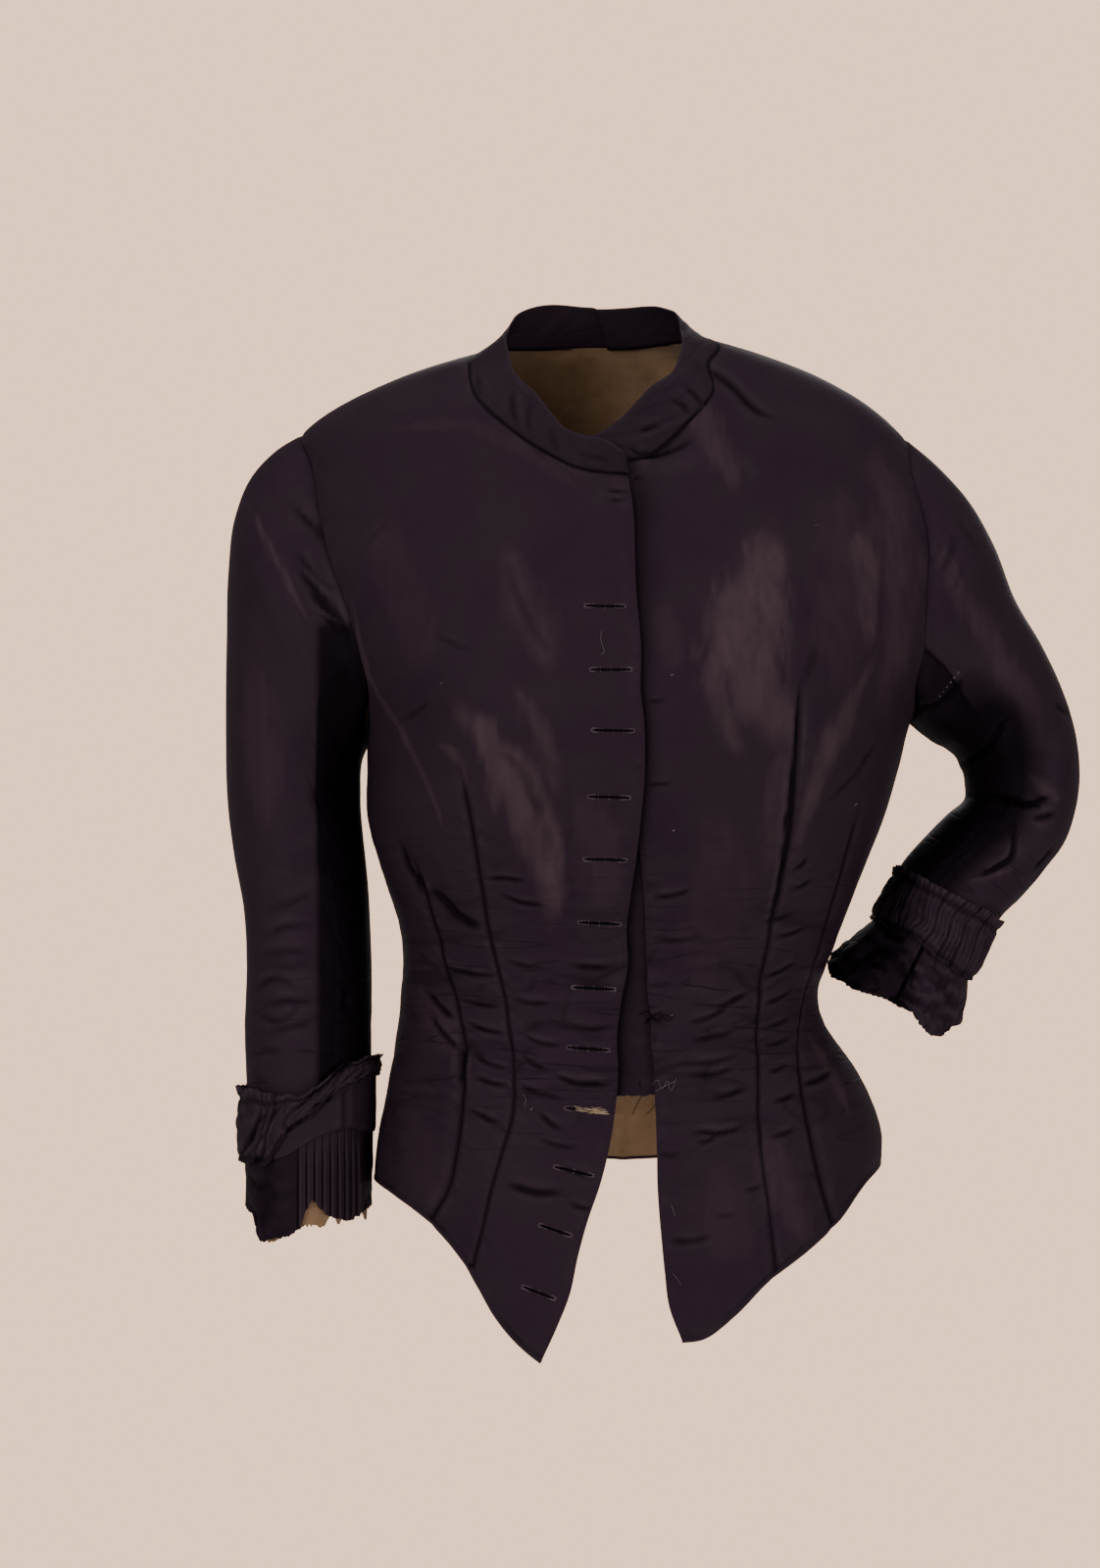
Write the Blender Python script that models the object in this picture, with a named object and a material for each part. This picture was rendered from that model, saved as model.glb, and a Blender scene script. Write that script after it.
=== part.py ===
"""A bustle jacket of plum-black silk: a fitted bodice of the 1880s, open in front below the waist.

Every cut piece is a thin closed wall of its own. The body pieces lie on one torso surface, which is
read from a short table of level sections. A place on it is a turn round the body, in degrees (0 at
the centre front, 90 at the wearer's left side, 180 at the centre back), and a height. Sleeves and
cuffs are rings along the arm. Sizes are in millimetres, +Z is up and the wearer faces -Y. The origin
is the middle of the neck at the height of the shoulders.
"""

import math

import bpy
import numpy as np

MM = 0.001
WALL = 1.4
THIN_WALL = 1.1
SEAM_GAP = 0.3
HALF_GAP = SEAM_GAP / 2
COLLECTION_NAME = "bustle_jacket"

# Level sections of the torso: height, the two sides, depth to the front and back, squareness.
TORSO = (
    (8, -30, 46, 44, 52, 2.0),
    (-3, -57, 89, 51, 60, 1.75),
    (-13, -92, 118, 56, 66, 1.65),
    (-27, -127, 147, 61, 72, 1.65),
    (-50, -163, 176, 67, 80, 1.75),
    (-76, -168, 191, 74, 88, 1.9),
    (-100, -169, 203, 82, 93, 2.0),
    (-140, -163, 210, 99, 97, 2.1),
    (-177, -148, 204, 113, 97, 2.2),
    (-200, -136, 190, 120, 95, 2.2),
    (-214, -129, 183, 122, 93, 2.2),
    (-240, -127, 176, 121, 88, 2.2),
    (-268, -127, 168, 116, 82, 2.2),
    (-309, -116, 152, 103, 72, 2.15),
    (-332, -109, 143, 95, 68, 2.1),
    (-351, -107, 136, 90, 66, 2.1),
    (-369, -108, 130, 88, 66, 2.1),
    (-388, -110, 134, 90, 74, 2.1),
    (-408, -113, 148, 93, 86, 2.1),
    (-430, -117, 160, 98, 99, 2.1),
    (-450, -121, 166, 102, 110, 2.1),
    (-475, -123, 165, 105, 120, 2.1),
    (-520, -123, 163, 108, 130, 2.1),
    (-590, -121, 160, 108, 135, 2.1),
)
# Where the darts give room for the bust: x, height, rise, spread across, spread up.
BUST = (
    (-62, -222, 7, 46, 52),
    (103, -200, 8, 46, 56),
)

# Seams on the fronts, as x and height seen from the front, from the hem point up.
EDGE_RIGHT = (
    (-28, -566), (-13, -531), (-6, -500), (5, -467), (11, -439), (14, -400), (18, -362),
    (19, -328), (22, -306), (26, -273), (26, -198), (24, -144), (20, -80),
)
EDGE_LEFT = (
    (49, -554), (46, -550), (41, -527), (37, -490), (35, -440), (34, -415), (32, -374),
    (30, -349), (28, -308), (25, -283), (22, -252), (19, -198), (15, -144), (12, -72),
)
HEM_RIGHT = (
    (-28, -566), (-36, -560), (-52, -543), (-63, -525), (-77, -505), (-93, -490), (-110, -480),
)
HEM_LEFT = (
    (49, -554), (59, -553), (77, -541), (95, -524), (118, -508), (137, -493), (152, -476),
)
DARTS_RIGHT = (
    ((-65, -512), (-61, -497), (-56, -475), (-49, -451), (-44, -434), (-43, -414), (-45, -392),
     (-49, -366), (-56, -336), (-61, -305), (-66, -273), (-72, -242)),
    ((-90, -494), (-79, -474), (-74, -452), (-71, -426), (-71, -389), (-81, -355), (-88, -330),
     (-93, -312), (-102, -288)),
)
DARTS_LEFT = (
    ((101, -516), (97, -483), (93, -453), (92, -416), (93, -378), (97, -344), (104, -308),
     (109, -276), (111, -238), (112, -200)),
    ((134, -496), (132, -490), (124, -462), (118, -432), (115, -404), (120, -372), (129, -341),
     (139, -302), (148, -266)),
)

# The neck seam and the collar's upper edge, station by station from the right front end round the
# back to the left front end: turn and height of the seam, then x, y and height of the upper edge.
NECK = (
    (2.7, -80, 18, -77, -68),
    (-1.6, -79, 8, -75, -61),
    (-7.0, -76, -4, -72, -58),
    (-11.1, -70, -14, -67, -53),
    (-16.6, -60, -23, -60, -43),
    (-21.3, -51, -31, -54, -32),
    (-30.8, -37, -40, -45, -23),
    (-46.5, -18, -46, -29, -8),
    (-64, -9, -48, -15, 2),
    (-90, -3, -47, -2, 9),
    (-125, 1, -40, 22, 22),
    (-155, 4, -20, 39, 27),
    (180, 5, 2, 45, 28),
    (155, 5, 23, 40, 28),
    (125, 5, 39, 25, 26),
    (90, 4, 50, 1, 18),
    (60, 0, 51, -16, 8),
    (34.7, -13, 51, -34, -2),
    (28.7, -30, 46, -45, -17),
    (22.8, -42, 38, -51, -25),
    (15.0, -57, 28, -57, -33),
    (9.7, -66, 17, -62, -45),
    (4.5, -70, 6, -66, -53),
    (0.6, -72, 0, -67, -57),
)
# Stations of NECK where the shoulder seams meet it, and of the centre back.
NECK_SHOULDER_RIGHT, NECK_CENTRE_BACK, NECK_SHOULDER_LEFT = 9.25, 12.0, 14.75

# The armholes, from the shoulder seam down the front, under the arm and up the back: turn, height.
ARMHOLE_RIGHT = (
    (-98, -50), (-88, -52), (-77, -60), (-70, -77), (-66, -100), (-63, -126), (-61, -146),
    (-62, -176), (-67, -200), (-80, -216), (-94, -223), (-106, -217), (-116, -202), (-122, -180),
    (-125, -150), (-122, -115), (-116, -85), (-108, -63), (-98, -50),
)
ARMHOLE_LEFT = (
    (98, -52), (88, -54), (80, -62), (72, -77), (67, -96), (64, -119), (61, -141),
    (61, -169), (66, -192), (79, -209), (94, -216), (106, -211), (116, -197), (122, -176),
    (125, -148), (122, -115), (116, -87), (108, -65), (98, -52),
)
# Places in those two tables: where the side seam and the side-back seam meet the armhole.
AT_SIDE_SEAM, AT_SIDE_BACK = 10, 13

SIDE_TURN = 94
SIDE_HEM = {"right": -474, "left": -464}
# The side-back seam: turn from the centre front, height, from the hem to the armhole.
SIDE_BACK = (
    (128, -468), (131, -430), (136, -390), (139, -360), (140, -320), (138, -270), (131, -210),
)
BACK_HEM = -476

# Sleeve rings from the armhole down: the ring's outer and inner point seen from the front (x and
# height of each), how far back its middle lies, and half its depth.
SLEEVE_RIGHT = (
    (-162, -50, -129, -223, 0, 56),
    (-178, -60, -130, -231, 0, 56),
    (-194, -77, -131, -238, 1, 54),
    (-203, -98, -131, -245, 2, 52),
    (-207, -129, -131, -254, 3, 49),
    (-208, -168, -131, -264, 3, 46),
    (-208, -213, -130.5, -277, 2, 45),
    (-207, -260, -129, -291, 0, 43),
    (-203, -293, -127, -311, -1, 42),
    (-198, -321, -125.5, -330, -2, 41),
    (-196, -354, -124.5, -357, -4, 39),
    (-197, -391, -124.5, -391, -6, 37),
    (-195.6, -424, -124.4, -424, -8, 35.6),
    (-193.7, -450, -126.3, -450, -8, 33.7),
)
SLEEVE_LEFT = (
    (177, -52, 183, -216, 0, 56),
    (195, -67, 186, -219, 0, 56),
    (214, -87, 189, -222, 2, 54),
    (230, -113, 193, -225, 5, 51),
    (243, -145, 196, -227, 8, 48),
    (259, -172, 200, -229, 10, 45),
    (270, -195, 205, -231, 12, 44),
    (278, -220, 210, -235, 14, 43),
    (281, -244, 213, -241, 16, 42),
    (279, -266, 216, -250, 17, 40),
    (273, -284, 216, -259, 16, 38),
    (262, -299, 206, -268, 15, 37),
    (249, -314, 193, -281, 14, 35),
    (236, -327, 178.5, -298, 13, 32),
    (217.3, -355, 166.7, -329, 13, 28.5),
)
# Where the two sleeve seams run, in degrees round the arm from its outer side by way of the front.
FRONT_SEAM, BACK_SEAM = 115, 248

# Folds that the cloth itself takes, seen from the front: x and height of both ends, depth, width.
FRONT_FOLDS = (
    (-112, -275, -66, -340, 2.2, 9),
    (-104, -330, -48, -352, 1.6, 8),
    (-100, -368, -30, -372, 1.5, 8),
    (-100, -402, -20, -396, 1.4, 8),
    (-40, -428, 8, -420, 1.2, 8),
    (58, -330, 120, -322, 1.4, 8),
    (50, -362, 122, -356, 1.6, 8),
    (56, -396, 126, -384, 1.5, 8),
    (60, -430, 110, -432, 1.3, 8),
    (26, -70, 72, -58, 3.0, 8),
    (116, -250, 158, -205, -2.0, 12),
)
SLEEVE_RIGHT_FOLDS = (
    (-150, -110, -132, -190, 3.0, 9),
    (-166, -120, -136, -225, 2.4, 9),
    (-134, -250, -160, -262, 2.2, 8),
    (-133, -285, -172, -300, 2.0, 8),
    (-195, -318, -140, -322, 1.4, 8),
    (-193, -350, -140, -352, 1.2, 7),
)
SLEEVE_LEFT_FOLDS = (
    (196, -214, 224, -186, 3.2, 8),
    (206, -226, 250, -208, 3.0, 8),
    (214, -248, 272, -236, 4.2, 8),
    (216, -262, 266, -262, 3.8, 8),
    (212, -272, 262, -284, 2.6, 7),
    (186, -150, 194, -205, 2.4, 9),
)
# Similar folds at the back of both sleeves: x and height of both ends, depth, width.
SLEEVE_BACK_FOLDS = {
    "right": (
        (-140, -170, -160, -240, 2.0, 10),
        (-135, -300, -190, -318, 1.6, 9),
    ),
    "left": (
        (200, -150, 196, -205, 2.0, 10),
        (224, -236, 270, -232, 3.0, 9),
        (220, -262, 262, -276, 2.4, 9),
    ),
}

# The cuffs: the middle of the arm at the cuff's upper edge, and the ways across to the arm's outer
# side and down along it. Places on a cuff are an angle round the arm, as for the sleeve seams, and a
# distance down from that middle.
CUFFS = {
    "right": {"centre": (-160, -8, -424), "across": (-1, 0, 0), "down": (0, 0, -1)},
    "left": {"centre": (207, 13, -312.5), "across": (0.891, 0, -0.454), "down": (-0.454, 0, -0.891)},
}
# The gathered bands: angle, upper edge, lower edge.
RUCHE_RIGHT = (
    (0, -1, 41), (25, -1.5, 40.5), (45, -1.5, 40), (60, 0, 38), (69, 0.5, 27), (78, 1, 21),
    (86, 1, 16), (96, -2, 12), (104, -6, 7), (120, -15, -1), (138, -18, -6), (154, -19.5, -8),
    (180, -18.5, -8), (205, -17, -6), (225, -12, 2), (245, -6, 13), (265, -2, 25), (285, 0, 34),
    (305, 0, 39), (330, -1, 41), (360, -1, 41),
)
RUCHE_LEFT = (
    (0, 2, 40), (30, 2, 40.5), (48, 1, 41), (68, 1, 38.5), (76, 1, 38), (94, 1, 35), (106, 1, 34),
    (127, 0.5, 35), (156, 0, 34), (180, 2, 34), (210, 1, 35), (240, 1, 37), (275, 1, 36), (310, 2, 39),
    (335, 2, 41), (360, 2, 40),
)
# The smooth strap of the right cuff: angle and lower edge; it ends under the band at both ends.
STRAP_RIGHT = (
    (62, 37.5), (74, 35), (90, 28.6), (104, 23.5), (125, 20), (154, 23.5), (180, 24), (215, 23),
    (245, 27), (275, 34), (298, 38),
)
# The flounces: angle and lower edge. The left one starts and ends at a slit in front.
FLOUNCE_RIGHT = (
    (0, 66), (18, 67), (30, 71), (37, 80), (42, 83), (55, 83), (68, 81), (80, 78), (87, 73), (91, 65),
    (97, 60), (103, 64), (109, 68), (123, 71.5), (135, 71.7), (153, 68), (180, 66), (210, 70),
    (240, 74), (270, 75), (300, 76), (330, 72), (360, 66),
)
FLOUNCE_LEFT = (
    (97, 69), (107, 71.7), (138, 74.6), (165, 72), (180, 66), (200, 68), (230, 72), (270, 73),
    (310, 71), (340, 66), (360, 61), (380, 69), (398, 77), (411, 78), (427, 76.5), (444, 69.5), (453, 68),
)
# Knife pleats of the right flounce: first and last angle of each run, and how many.
PLEATS_RIGHT = ((84, 148, 9), (205, 325, 13))
# How far the ragged lining shows below the right flounce: angle and lower edge.
LINING_RIGHT = (
    (0, 62), (40, 76), (50, 84.5), (58, 84), (66, 79), (84, 77), (92, 75), (100, 74), (108, 75.5),
    (116, 68), (124, 73.5), (130, 68), (150, 66), (163, 72), (172, 73), (182, 64), (220, 67), (270, 70),
    (320, 70), (360, 62),
)

# Grid counts: rows along each seam and columns across each piece.
SIDE_ROWS, FRONT_ARM_ROWS, SIDE_COLUMNS, BACK_ARM_ROWS = 16, 10, 5, 6
NECK_COLUMNS, SHOULDER_COLUMNS, BACK_NECK_COLUMNS = 8, 6, 4
DART_COLUMNS = (6, 10)
SLEEVE_ROWS = {"right": 20, "left": 24}
COLLAR_ROWS = 4
UNDERLAP = {"left_x": 0, "right_x": 44, "top": -252, "bottom": -420, "depth": 4.6}
UNDERLAP_COLUMNS, UNDERLAP_ROWS = 3, 10
DART_DEPTH = 1.1
LAP_DEPTH, LAP_WIDTH = 2.8, 24
NECK_LEAN = 120

CLOTH = {"plum silk": ((0.023, 0.014, 0.021, 1), 0.42), "tan lining": ((0.42, 0.25, 0.13, 1), 0.8)}


def spline(knots, values, at):
    """A smooth cubic through rows of values at rising knots."""
    knots = np.asarray(knots, float)
    values = np.asarray(values, float).reshape(len(knots), -1)
    steps = np.diff(knots)[:, None]
    slopes = np.diff(values, axis=0) / steps
    inner = (slopes[:-1] * steps[1:] + slopes[1:] * steps[:-1]) / (steps[:-1] + steps[1:])
    tangents = np.vstack([slopes[:1], inner, slopes[-1:]])
    at = np.clip(np.atleast_1d(np.asarray(at, float)), knots[0], knots[-1])
    i = np.clip(np.searchsorted(knots, at, side="right") - 1, 0, len(knots) - 2)
    h = steps[i]
    f = (at - knots[i])[:, None] / h
    start = values[i] * (1 + 2 * f) * (1 - f) ** 2 + tangents[i] * h * f * (1 - f) ** 2
    end = values[i + 1] * f**2 * (3 - 2 * f) + tangents[i + 1] * h * f**2 * (f - 1)
    return start + end


def smooth_step(value):
    value = np.clip(value, 0, 1)
    return value * value * (3 - 2 * value)


def unit(vectors):
    return vectors / np.maximum(np.linalg.norm(vectors, axis=-1, keepdims=True), 1e-9)


def section(height):
    """Middle, half width, front and back depth and squareness of the torso at each height."""
    table = np.array(TORSO[::-1], float)
    right, left, front, back, square = spline(table[:, 0], table[:, 1:], height).T
    return (right + left) / 2, (left - right) / 2, front, back, square


def turn_at(x, height):
    """The turn of a point of the front that is seen at x."""
    x, height = np.atleast_1d(np.asarray(x, float)), np.atleast_1d(np.asarray(height, float))
    middle, half, _, _, square = section(height)
    share = np.clip((x - middle) / half, -1, 1)
    return np.degrees(np.arcsin(np.sign(share) * np.abs(share) ** (square / 2)))


def torso_point(turn, height):
    """Points of the torso surface, as an array of the turns' shape with x, y and z added."""
    turn, height = np.broadcast_arrays(np.asarray(turn, float), np.asarray(height, float))
    shape = turn.shape
    angle, z = np.radians(turn.ravel()), height.ravel()
    middle, half, front, back, square = section(z)
    s, c = np.sin(angle), np.cos(angle)
    x = middle + half * np.sign(s) * np.abs(s) ** (2 / square)
    y = -np.where(c > 0, front, back) * np.sign(c) * np.abs(c) ** (2 / square)
    for at_x, at_z, rise, across, up in BUST:
        swell = rise * np.exp(-(((x - at_x) / across) ** 2) - ((z - at_z) / up) ** 2)
        y = y - swell * smooth_step(c * 2)
    return np.stack([x, y, z], axis=-1).reshape(*shape, 3)


def torso_normal(turn, height):
    """Outward directions of the torso surface."""
    across = torso_point(turn + 0.6, height) - torso_point(turn - 0.6, height)
    up = torso_point(turn, height + 1.5) - torso_point(turn, height - 1.5)
    return unit(np.cross(across, up))


def run_of(points):
    """Distance along a row of (turn, height) points on the torso."""
    space = torso_point(points[:, 0], points[:, 1])
    return np.concatenate([[0], np.cumsum(np.linalg.norm(np.diff(space, axis=0), axis=1))])


def even_path(points, count):
    """count + 1 evenly spaced rows of the smooth curve through rows that start with turn, height."""
    points = np.asarray(points, float)
    run = run_of(points)
    fine = spline(run, points, np.linspace(0, run[-1], 12 * count + 1))
    run = run_of(fine)
    wanted = np.linspace(0, run[-1], count + 1)
    return np.stack([np.interp(wanted, run, column) for column in fine.T], axis=-1)


def on_front(points):
    """Points of the front that are given as x and height, as (turn, height)."""
    points = np.asarray(points, float)
    return np.stack([turn_at(points[:, 0], points[:, 1]), points[:, 1]], axis=-1)


def stopped_path(points, stops, counts):
    """A path through (turn, height) points that has a point at each stop; counts between them."""
    fine = even_path(points, 400)
    space = torso_point(fine[:, 0], fine[:, 1])
    marks = torso_point(stops[:, 0], stops[:, 1])
    places = [0, *(int(np.argmin(np.linalg.norm(space - mark, axis=1))) for mark in marks), 400]
    parts = [fine[first:last + 1] for first, last in zip(places[:-1], places[1:])]
    runs = [even_path(part[::max(1, len(part) // 20)], count) for part, count in zip(parts, counts)]
    return np.vstack([runs[0], *(run[1:] for run in runs[1:])])


def sided(points, side):
    """Turns of the left side are positive and those of the right side negative."""
    sign = -1 if side == "right" else 1
    return [(sign * turn, height) for turn, height in points]


def crease_depth(x, z, creases):
    """How deep a set of creases lies at each point, each fading to nothing at its ends."""
    depth = np.zeros_like(x)
    for x1, z1, x2, z2, deep, width in creases:
        run = np.array([x2 - x1, z2 - z1], float)
        length = np.hypot(*run)
        along = ((x - x1) * run[0] + (z - z1) * run[1]) / length**2
        off = ((x - x1) * run[1] - (z - z1) * run[0]) / length
        ends = smooth_step(along * 3) * smooth_step((1 - along) * 3)
        depth += deep * ends * np.exp(-((off / width) ** 2))
    return depth


def girth_table(height):
    """Distance round each level section from the centre front, at every fourth degree of turn."""
    turns = np.arange(0, 201, 4.0)
    height = np.asarray(height, float)[:, None]
    runs = []
    for sign in (-1, 1):
        space = torso_point(sign * turns[None], height)
        steps = np.linalg.norm(np.diff(space, axis=1), axis=2)
        runs.append(np.concatenate([np.zeros((len(height), 1)), np.cumsum(steps, axis=1)], axis=1))
    return turns, runs


def unrolled(points, back=False):
    """(turn, height) rows as flat (distance round the body, height), or back again."""
    flat = points.reshape(-1, 2)
    turns, (right, left) = girth_table(flat[:, 1])
    result = flat.copy()
    for k, (value, _) in enumerate(flat):
        run = right[k] if value < 0 else left[k]
        known, wanted = (run, turns) if back else (turns, run)
        result[k, 0] = math.copysign(np.interp(abs(value), known, wanted), value)
    return result.reshape(points.shape)


def coons(bottom, top, left, right, lean=0):
    """A grid of (turn, height) on the torso inside four edges of it; rows run from bottom to top.

    A lean carries the columns that end in the upright part of the neck seam round the body."""
    v = np.linspace(0, 1, len(left))[:, None, None]
    u = np.linspace(0, 1, len(bottom))[None, :, None]
    low, high, near, far = (unrolled(edge) for edge in (bottom, top, left, right))
    pull = u**2 if lean else u
    flat = (1 - v) * low[None] + v * high[None]
    flat = flat + (1 - pull) * (near[:, None] - (1 - v) * low[0] - v * high[0])
    flat = flat + pull * (far[:, None] - (1 - v) * low[-1] - v * high[-1])
    flat[..., 0] += lean * (4 * u * (1 - u) * v**2 * (1 - v))[..., 0]
    grid = unrolled(flat, back=True)
    grid[0], grid[-1], grid[:, 0], grid[:, -1] = bottom, top, left, right
    return grid


def neck_path(first, last, count):
    """Evenly spaced rows of NECK between two stations; the turn runs on past -180 degrees."""
    table = np.array(NECK, float)
    table[:, 0] = np.degrees(np.unwrap(np.radians(table[:, 0])))
    return even_path(spline(np.arange(len(table)), table, np.linspace(first, last, 25)), count)


def grid_of_front(side):
    """The (turn, height) grid of one front: rows from hem to shoulder, columns from the edge out."""
    if side == "right":
        edge, hem, armhole = EDGE_RIGHT, HEM_RIGHT, ARMHOLE_RIGHT
        neck = neck_path(0, NECK_SHOULDER_RIGHT, NECK_COLUMNS)[:, :2]
    else:
        edge, hem, armhole = EDGE_LEFT, HEM_LEFT, ARMHOLE_LEFT
        neck = neck_path(NECK_SHOULDER_LEFT, len(NECK) - 1, NECK_COLUMNS)[::-1, :2]
        neck = neck + (360, 0)
    sign = -1 if side == "right" else 1
    darts = DARTS_RIGHT if side == "right" else DARTS_LEFT
    columns = NECK_COLUMNS + SHOULDER_COLUMNS
    hem_line = np.vstack([on_front(hem), (sign * SIDE_TURN, SIDE_HEM[side])])
    counts = np.diff([0, *DART_COLUMNS, columns])
    bottom = stopped_path(hem_line, on_front([dart[0] for dart in darts]), counts)
    shoulder = even_path([neck[-1], armhole[0]], SHOULDER_COLUMNS)
    top = np.vstack([neck, shoulder[1:]])
    underarm = armhole[AT_SIDE_SEAM]
    side_seam = even_path([(sign * SIDE_TURN, SIDE_HEM[side]), underarm], SIDE_ROWS)
    arm = even_path(armhole[AT_SIDE_SEAM::-1], FRONT_ARM_ROWS)
    edge_line = even_path(on_front(edge), 200)
    chest_at = int(np.argmin(np.abs(edge_line[:, 1] - underarm[1])))
    low_edge = even_path(edge_line[:chest_at + 1:8], SIDE_ROWS)
    upper_part = np.vstack([low_edge[-1:], edge_line[chest_at + 8::8], edge_line[-1:]])
    high_edge = even_path(upper_part, FRONT_ARM_ROWS)
    chest_ends = unrolled(np.array([low_edge[-1], underarm]))
    chest = chest_ends[0] + np.linspace(0, 1, columns + 1)[:, None] * (chest_ends[1] - chest_ends[0])
    chest = unrolled(chest, back=True)
    low = coons(bottom, chest, low_edge, side_seam)
    high = coons(chest, top, high_edge, arm, sign * NECK_LEAN)
    return onto_darts(np.vstack([low, high[1:]]), darts, DART_COLUMNS)


def onto_darts(grid, darts, dart_columns):
    """Slide the columns of a front round the body until two of them run along the darts."""
    rows, columns, _ = grid.shape
    fixed = [0, *dart_columns, columns - 1]
    shifts = np.zeros((rows, len(fixed)))
    for k, (dart, column) in enumerate(zip(darts, dart_columns), start=1):
        table = np.array(dart, float)
        heights = grid[:, column, 1]
        wanted = spline(table[:, 1], table[:, :1], heights)[:, 0]
        fade = 1 - smooth_step((heights - table[-1, 1]) / 110)
        shifts[:, k] = (turn_at(wanted, heights) - grid[:, column, 0]) * fade
    for row in range(1, rows):
        grid[row, :, 0] += np.interp(np.arange(columns), fixed, shifts[row])
    return grid


def dart_grooves(grid, darts, dart_columns):
    """The seam of each dart lies a little below the cloth on both sides of it."""
    relief = np.zeros(grid.shape[:2])
    for dart, column in zip(darts, dart_columns):
        heights = grid[:, column, 1]
        relief[:, column] -= DART_DEPTH * (1 - smooth_step((heights - dart[-1][1] + 30) / 30))
    return relief


def wall(outer, normals, thickness, gaps=()):
    """Outer and inner grid of a cloth wall, drawn back by half a seam gap along the named edges."""
    inner = outer - normals * thickness
    for rim in gaps:
        line = {"left": np.s_[:, 0], "right": np.s_[:, -1], "bottom": np.s_[0], "top": np.s_[-1]}[rim]
        next_line = {"left": np.s_[:, 1], "right": np.s_[:, -2], "bottom": np.s_[1], "top": np.s_[-2]}[rim]
        shift = unit(outer[next_line] - outer[line]) * HALF_GAP
        outer[line] += shift
        inner[line] += shift
    return outer, inner


def mesh_from_walls(name, outer, inner, material, closed=False):
    """One closed solid between two equal grids; a closed grid's last column meets its first."""
    rows, columns, _ = outer.shape
    spans = columns if closed else columns - 1

    def corner(layer, row, column):
        return layer * rows * columns + row * columns + column % columns

    faces = []
    for row in range(rows - 1):
        for column in range(spans):
            quad = [(row, column), (row, column + 1), (row + 1, column + 1), (row + 1, column)]
            a, b, c, d = (outer[i, j % columns] for i, j in quad)
            turned = quad if np.linalg.norm(c - a) < np.linalg.norm(d - b) else quad[1:] + quad[:1]
            for corners in ((turned[0], turned[1], turned[2]), (turned[0], turned[2], turned[3])):
                faces.append([corner(0, *place) for place in corners])
                faces.append([corner(1, *place) for place in reversed(corners)])
    rims = [((0, column), (0, column + 1)) for column in range(spans)]
    rims += [((rows - 1, column + 1), (rows - 1, column)) for column in range(spans)]
    if not closed:
        rims += [((row + 1, 0), (row, 0)) for row in range(rows - 1)]
        rims += [((row, columns - 1), (row + 1, columns - 1)) for row in range(rows - 1)]
    for a, b in rims:
        faces.append([corner(0, *b), corner(0, *a), corner(1, *a)])
        faces.append([corner(0, *b), corner(1, *a), corner(1, *b)])
    points = np.concatenate([outer.reshape(-1, 3), inner.reshape(-1, 3)]) * MM
    if solid_volume(points, faces) < 0:
        faces = [face[::-1] for face in faces]
    mesh = bpy.data.meshes.new(name)
    mesh.from_pydata(points.tolist(), [], faces)
    mesh.materials.append(material)
    mesh.shade_smooth()
    mesh.set_sharp_from_angle(angle=math.radians(50))
    piece = bpy.data.objects.new(name, mesh)
    bpy.data.collections[COLLECTION_NAME].objects.link(piece)
    return piece


def solid_volume(points, faces):
    """Six times the signed volume inside triangles, positive where they point out."""
    corners = points[np.array(faces)]
    return float(np.einsum("ij,ij->i", corners[:, 0], np.cross(corners[:, 1], corners[:, 2])).sum())


def new_material(name):
    colour, roughness = CLOTH[name]
    material = bpy.data.materials.new(name)
    material.use_nodes = True
    shader = material.node_tree.nodes["Principled BSDF"]
    shader.inputs["Base Color"].default_value = colour
    shader.inputs["Roughness"].default_value = roughness
    material.diffuse_color = colour
    return material


def make_front(side, silk):
    grid = grid_of_front(side)
    darts = DARTS_RIGHT if side == "right" else DARTS_LEFT
    points = torso_point(grid[..., 0], grid[..., 1])
    normals = torso_normal(grid[..., 0], grid[..., 1])
    relief = dart_grooves(grid, darts, DART_COLUMNS)
    facing = smooth_step((75 - np.abs(grid[..., 0])) / 20)
    relief -= crease_depth(points[..., 0], points[..., 2], FRONT_FOLDS) * facing
    relief[:, -1] = 0
    relief[-1] = 0
    if side == "left":
        relief -= lap_depth(points)
    outer = points + normals * relief[..., None]
    outer, inner = wall(outer, normals, WALL, ("right", "top"))
    return mesh_from_walls(f"front_{side}", outer, inner, silk)


def lap_depth(points):
    """How far the left front lies below the surface, where the right front laps over it."""
    edge = np.array(EDGE_RIGHT, float)
    x, height = points[..., 0], points[..., 2]
    lap = spline(edge[:, 1], edge[:, :1], height.ravel()).reshape(height.shape)
    under = smooth_step((lap + LAP_WIDTH - x) / LAP_WIDTH)
    return LAP_DEPTH * under * smooth_step((height + 420) / 60)


def side_back_seam(side, rows):
    armhole = ARMHOLE_RIGHT if side == "right" else ARMHOLE_LEFT
    return even_path([*sided(SIDE_BACK, side), armhole[AT_SIDE_BACK]], rows)


def make_side_back(side, silk):
    sign = -1 if side == "right" else 1
    armhole = ARMHOLE_RIGHT if side == "right" else ARMHOLE_LEFT
    side_seam = even_path([(sign * SIDE_TURN, SIDE_HEM[side]), armhole[AT_SIDE_SEAM]], SIDE_ROWS)
    bottom = even_path([(sign * SIDE_TURN, SIDE_HEM[side]), sided(SIDE_BACK, side)[0]], SIDE_COLUMNS)
    top = even_path(armhole[AT_SIDE_SEAM:AT_SIDE_BACK + 1], SIDE_COLUMNS)
    grid = coons(bottom, top, side_seam, side_back_seam(side, SIDE_ROWS))
    normals = torso_normal(grid[..., 0], grid[..., 1])
    points = torso_point(grid[..., 0], grid[..., 1])
    outer, inner = wall(points, normals, WALL, ("left", "right", "top"))
    return mesh_from_walls(f"side_back_{side}", outer, inner, silk)


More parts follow.
